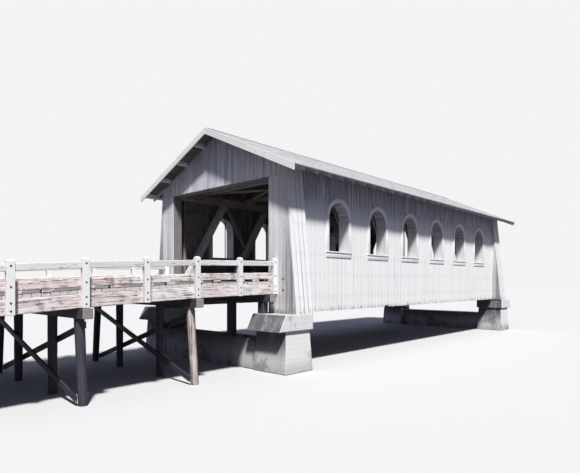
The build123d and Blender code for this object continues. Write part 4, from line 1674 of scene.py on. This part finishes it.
@dataclass
class Trestle:
    """Bents of driven piles, caps and crossed braces, and the landing posts by the pier."""

    bents: int = 3
    pile: float = 0.147
    tip: float = 0.132
    pile_sides: int = 20
    pile_cuts: int = 8
    crook: float = 0.004
    true_ends: float = 0.05
    cap: float = 0.30
    post_foot: float = 0.51
    rows: tuple[float, float] = (1.5, 3.4)
    batter: float = 0.1

    def piles(self, approach: Approach) -> None:
        """Round piles, thicker at the top, a little crooked, with the outer pair leaning out.

        Args:
            approach: the roadway that the bents carry.
        """
        piles, greyed = [], []
        for bent in range(self.bents):
            x = SET.west - approach.span * (bent + 1)
            head = SET.deck_top - approach.fall_at(x - approach.end_past) - self.post_foot - self.cap
            for side in (-1, 1):
                for row, lean in zip(self.rows, (0.0, self.batter)):
                    pile = self.one_pile(x, side, row, lean, head, len(piles) + len(greyed))
                    (greyed if (bent, side) == (0, -1) and lean else piles).append(pile)
        for name, poles, finish in (("trestle_piles", piles, CREOSOTE), ("greyed_pile", greyed, GREYED)):
            piece = joined(name, poles)
            smooth(piece, degrees=40)
            deliver(piece, finish, Slot.TRESTLE, "bent_piles")

    def one_pile(
        self, x: float, side: int, row: float, lean: float, head: float, seed: int
    ) -> bpy.types.Object:
        """One pile from the ground to the underside of its cap.

        Args:
            x: its place along the bridge.
            side: -1 on the south, 1 on the north.
            row: its distance from the middle, at the top.
            lean: how far it leans out for its height.
            head: height of its top.
            seed: start of its random shape.

        Returns:
            The pile's object.
        """

        def upright(edge: bmesh.types.BMEdge) -> bool:
            """Whether an edge runs the height of the pile."""
            low, high = sorted(vertex.co.z for vertex in edge.verts)
            return high - low > head / 2

        piece = new_piece(f"pile_{seed}")
        with editing(piece):
            bpy.ops.mesh.primitive_cone_add(
                vertices=self.pile_sides,
                radius1=self.tip,
                radius2=self.pile,
                depth=head,
                location=(x, 0, head / 2),
            )
            select_edges(piece, upright)
            bpy.ops.mesh.subdivide(number_cuts=self.pile_cuts)
            select_vertices(piece, lambda place: self.true_ends < place.z < head - self.true_ends)
            bpy.ops.transform.vertex_random(offset=self.crook, uniform=1.0, seed=seed + 1)
            bpy.ops.mesh.select_all(action="SELECT")
            bpy.ops.transform.translate(value=(0, side * row, 0))
            if lean:
                for vertex in bmesh.from_edit_mesh(piece.data).verts:
                    vertex.co.y += side * lean * (head - vertex.co.z)
                bmesh.update_edit_mesh(piece.data)
        return piece

    def build(self, approach: Approach) -> None:
        """Build and dress the trestle.

        Args:
            approach: the roadway that the bents carry.
        """
        self.piles(approach)
        for node, name, bevel in (
            ("bent_caps", "bent_cap_timbers", 0.015),
            ("landing_posts", "landing_post_set", 0.015),
            ("bent_braces", "bent_brace_planks", 0.008),
            ("bearing_blocks", "bearing_timbers", 0.010),
        ):
            deliver_node(node, name, CREOSOTE, Slot.TRESTLE, bevel)


@dataclass
class Piers:
    """Concrete pedestals, webs and splayed caps with rounded edges."""

    edge: float = 0.03

    def build(self) -> None:
        """Build and dress the piers."""
        for node, name in (
            ("pier_caps", "pier_cap_blocks"),
            ("west_pier", "west_pier_shafts"),
            ("east_pier", "east_pier_shafts"),
        ):
            deliver_node(node, name, CONCRETE, Slot.CONCRETE, self.edge, 2)


@dataclass(frozen=True)
class Studio:
    """Camera at the photograph's viewpoint, one soft sun, a pale world and a pale floor."""

    eye: Place = (-19.895, -17.22, 3.50)
    view: Place = (0.736, 0.677, 0.0)
    lens: float = 29.98
    lift: float = 0.0784
    sight: float = 400.0
    sun_from: Place = (-0.43, -0.55, 1.0)
    sun: float = 5.6
    sun_angle: float = math.radians(5)
    sun_colour: Colour = (1.0, 0.985, 0.96)
    fill: float = 0.24
    fill_colour: Colour = (0.58, 0.64, 1.0)
    backdrop: Colour = (0.90, 0.90, 0.90)
    floor_size: float = 600.0

    @staticmethod
    def stand(data: bpy.types.ID, spot: Place, towards: Place, front: str) -> bpy.types.Object:
        """Put a camera or a lamp in the scene.

        Args:
            data: the camera or lamp.
            spot: where it stands.
            towards: direction of its front axis.
            front: its front axis.

        Returns:
            Its object.
        """
        thing = bpy.data.objects.new(data.name, data)
        thing.location = spot
        thing.rotation_euler = Vector(towards).to_track_quat(front, "Y").to_euler()
        bpy.context.scene.collection.objects.link(thing)
        return thing

    def camera(self) -> None:
        """Set up the camera."""
        data = bpy.data.cameras.new("photo_view")
        data.sensor_fit = "HORIZONTAL"
        data.sensor_width = 36
        data.lens = self.lens
        data.shift_y = self.lift
        data.clip_end = self.sight
        bpy.context.scene.camera = self.stand(data, self.eye, self.view, "-Z")

    def light(self) -> None:
        """Set up the sun and the world's fill."""
        data = bpy.data.lights.new("studio_sun", "SUN")
        data.energy = self.sun
        data.angle = self.sun_angle
        data.color = self.sun_colour
        self.stand(data, (0, 0, 0), self.sun_from, "Z")
        world = bpy.data.worlds.new("studio_world")
        world.use_nodes = True
        bpy.context.scene.world = world
        graph = Graph(world.node_tree)
        fill = graph.node("ShaderNodeBackground", {}, {"Color": self.fill_colour, "Strength": self.fill})
        shown = graph.node("ShaderNodeBackground", {}, {"Color": self.backdrop, "Strength": 1.0})
        mixed = graph.node("ShaderNodeMixShader", {}, {0: graph.shown(), 1: fill, 2: shown})
        graph.node("ShaderNodeOutputWorld", {}, {"Surface": mixed})

    def floor(self) -> None:
        """Lay the floor at the foot of the piers."""
        bpy.ops.object.select_all(action="DESELECT")
        bpy.ops.mesh.primitive_plane_add(size=self.floor_size, location=(0, 0, 0))
        floor = bpy.context.object
        floor.name = "studio_floor"
        floor.data.materials.append(PaleFloor("pale_studio_floor").material())

    def build(self) -> None:
        """Set up the whole studio."""
        self.camera()
        self.light()
        self.floor()
        bpy.context.scene.view_settings.view_transform = "Standard"


def main() -> None:
    """Build the sub-assemblies in order."""
    logging.basicConfig(level=logging.INFO, format="%(name)s %(message)s")
    approach = Approach()
    Piers().build()
    Trestle().build(approach)
    approach.build()
    TimberFrame().build()
    for side in Side:
        SideWalls().build(side)
    Gables().build()
    Portals().build()
    CornerFlares().build()
    Windows().build()
    Roof().build()
    Studio().build()


if __name__ == "__main__":
    main()
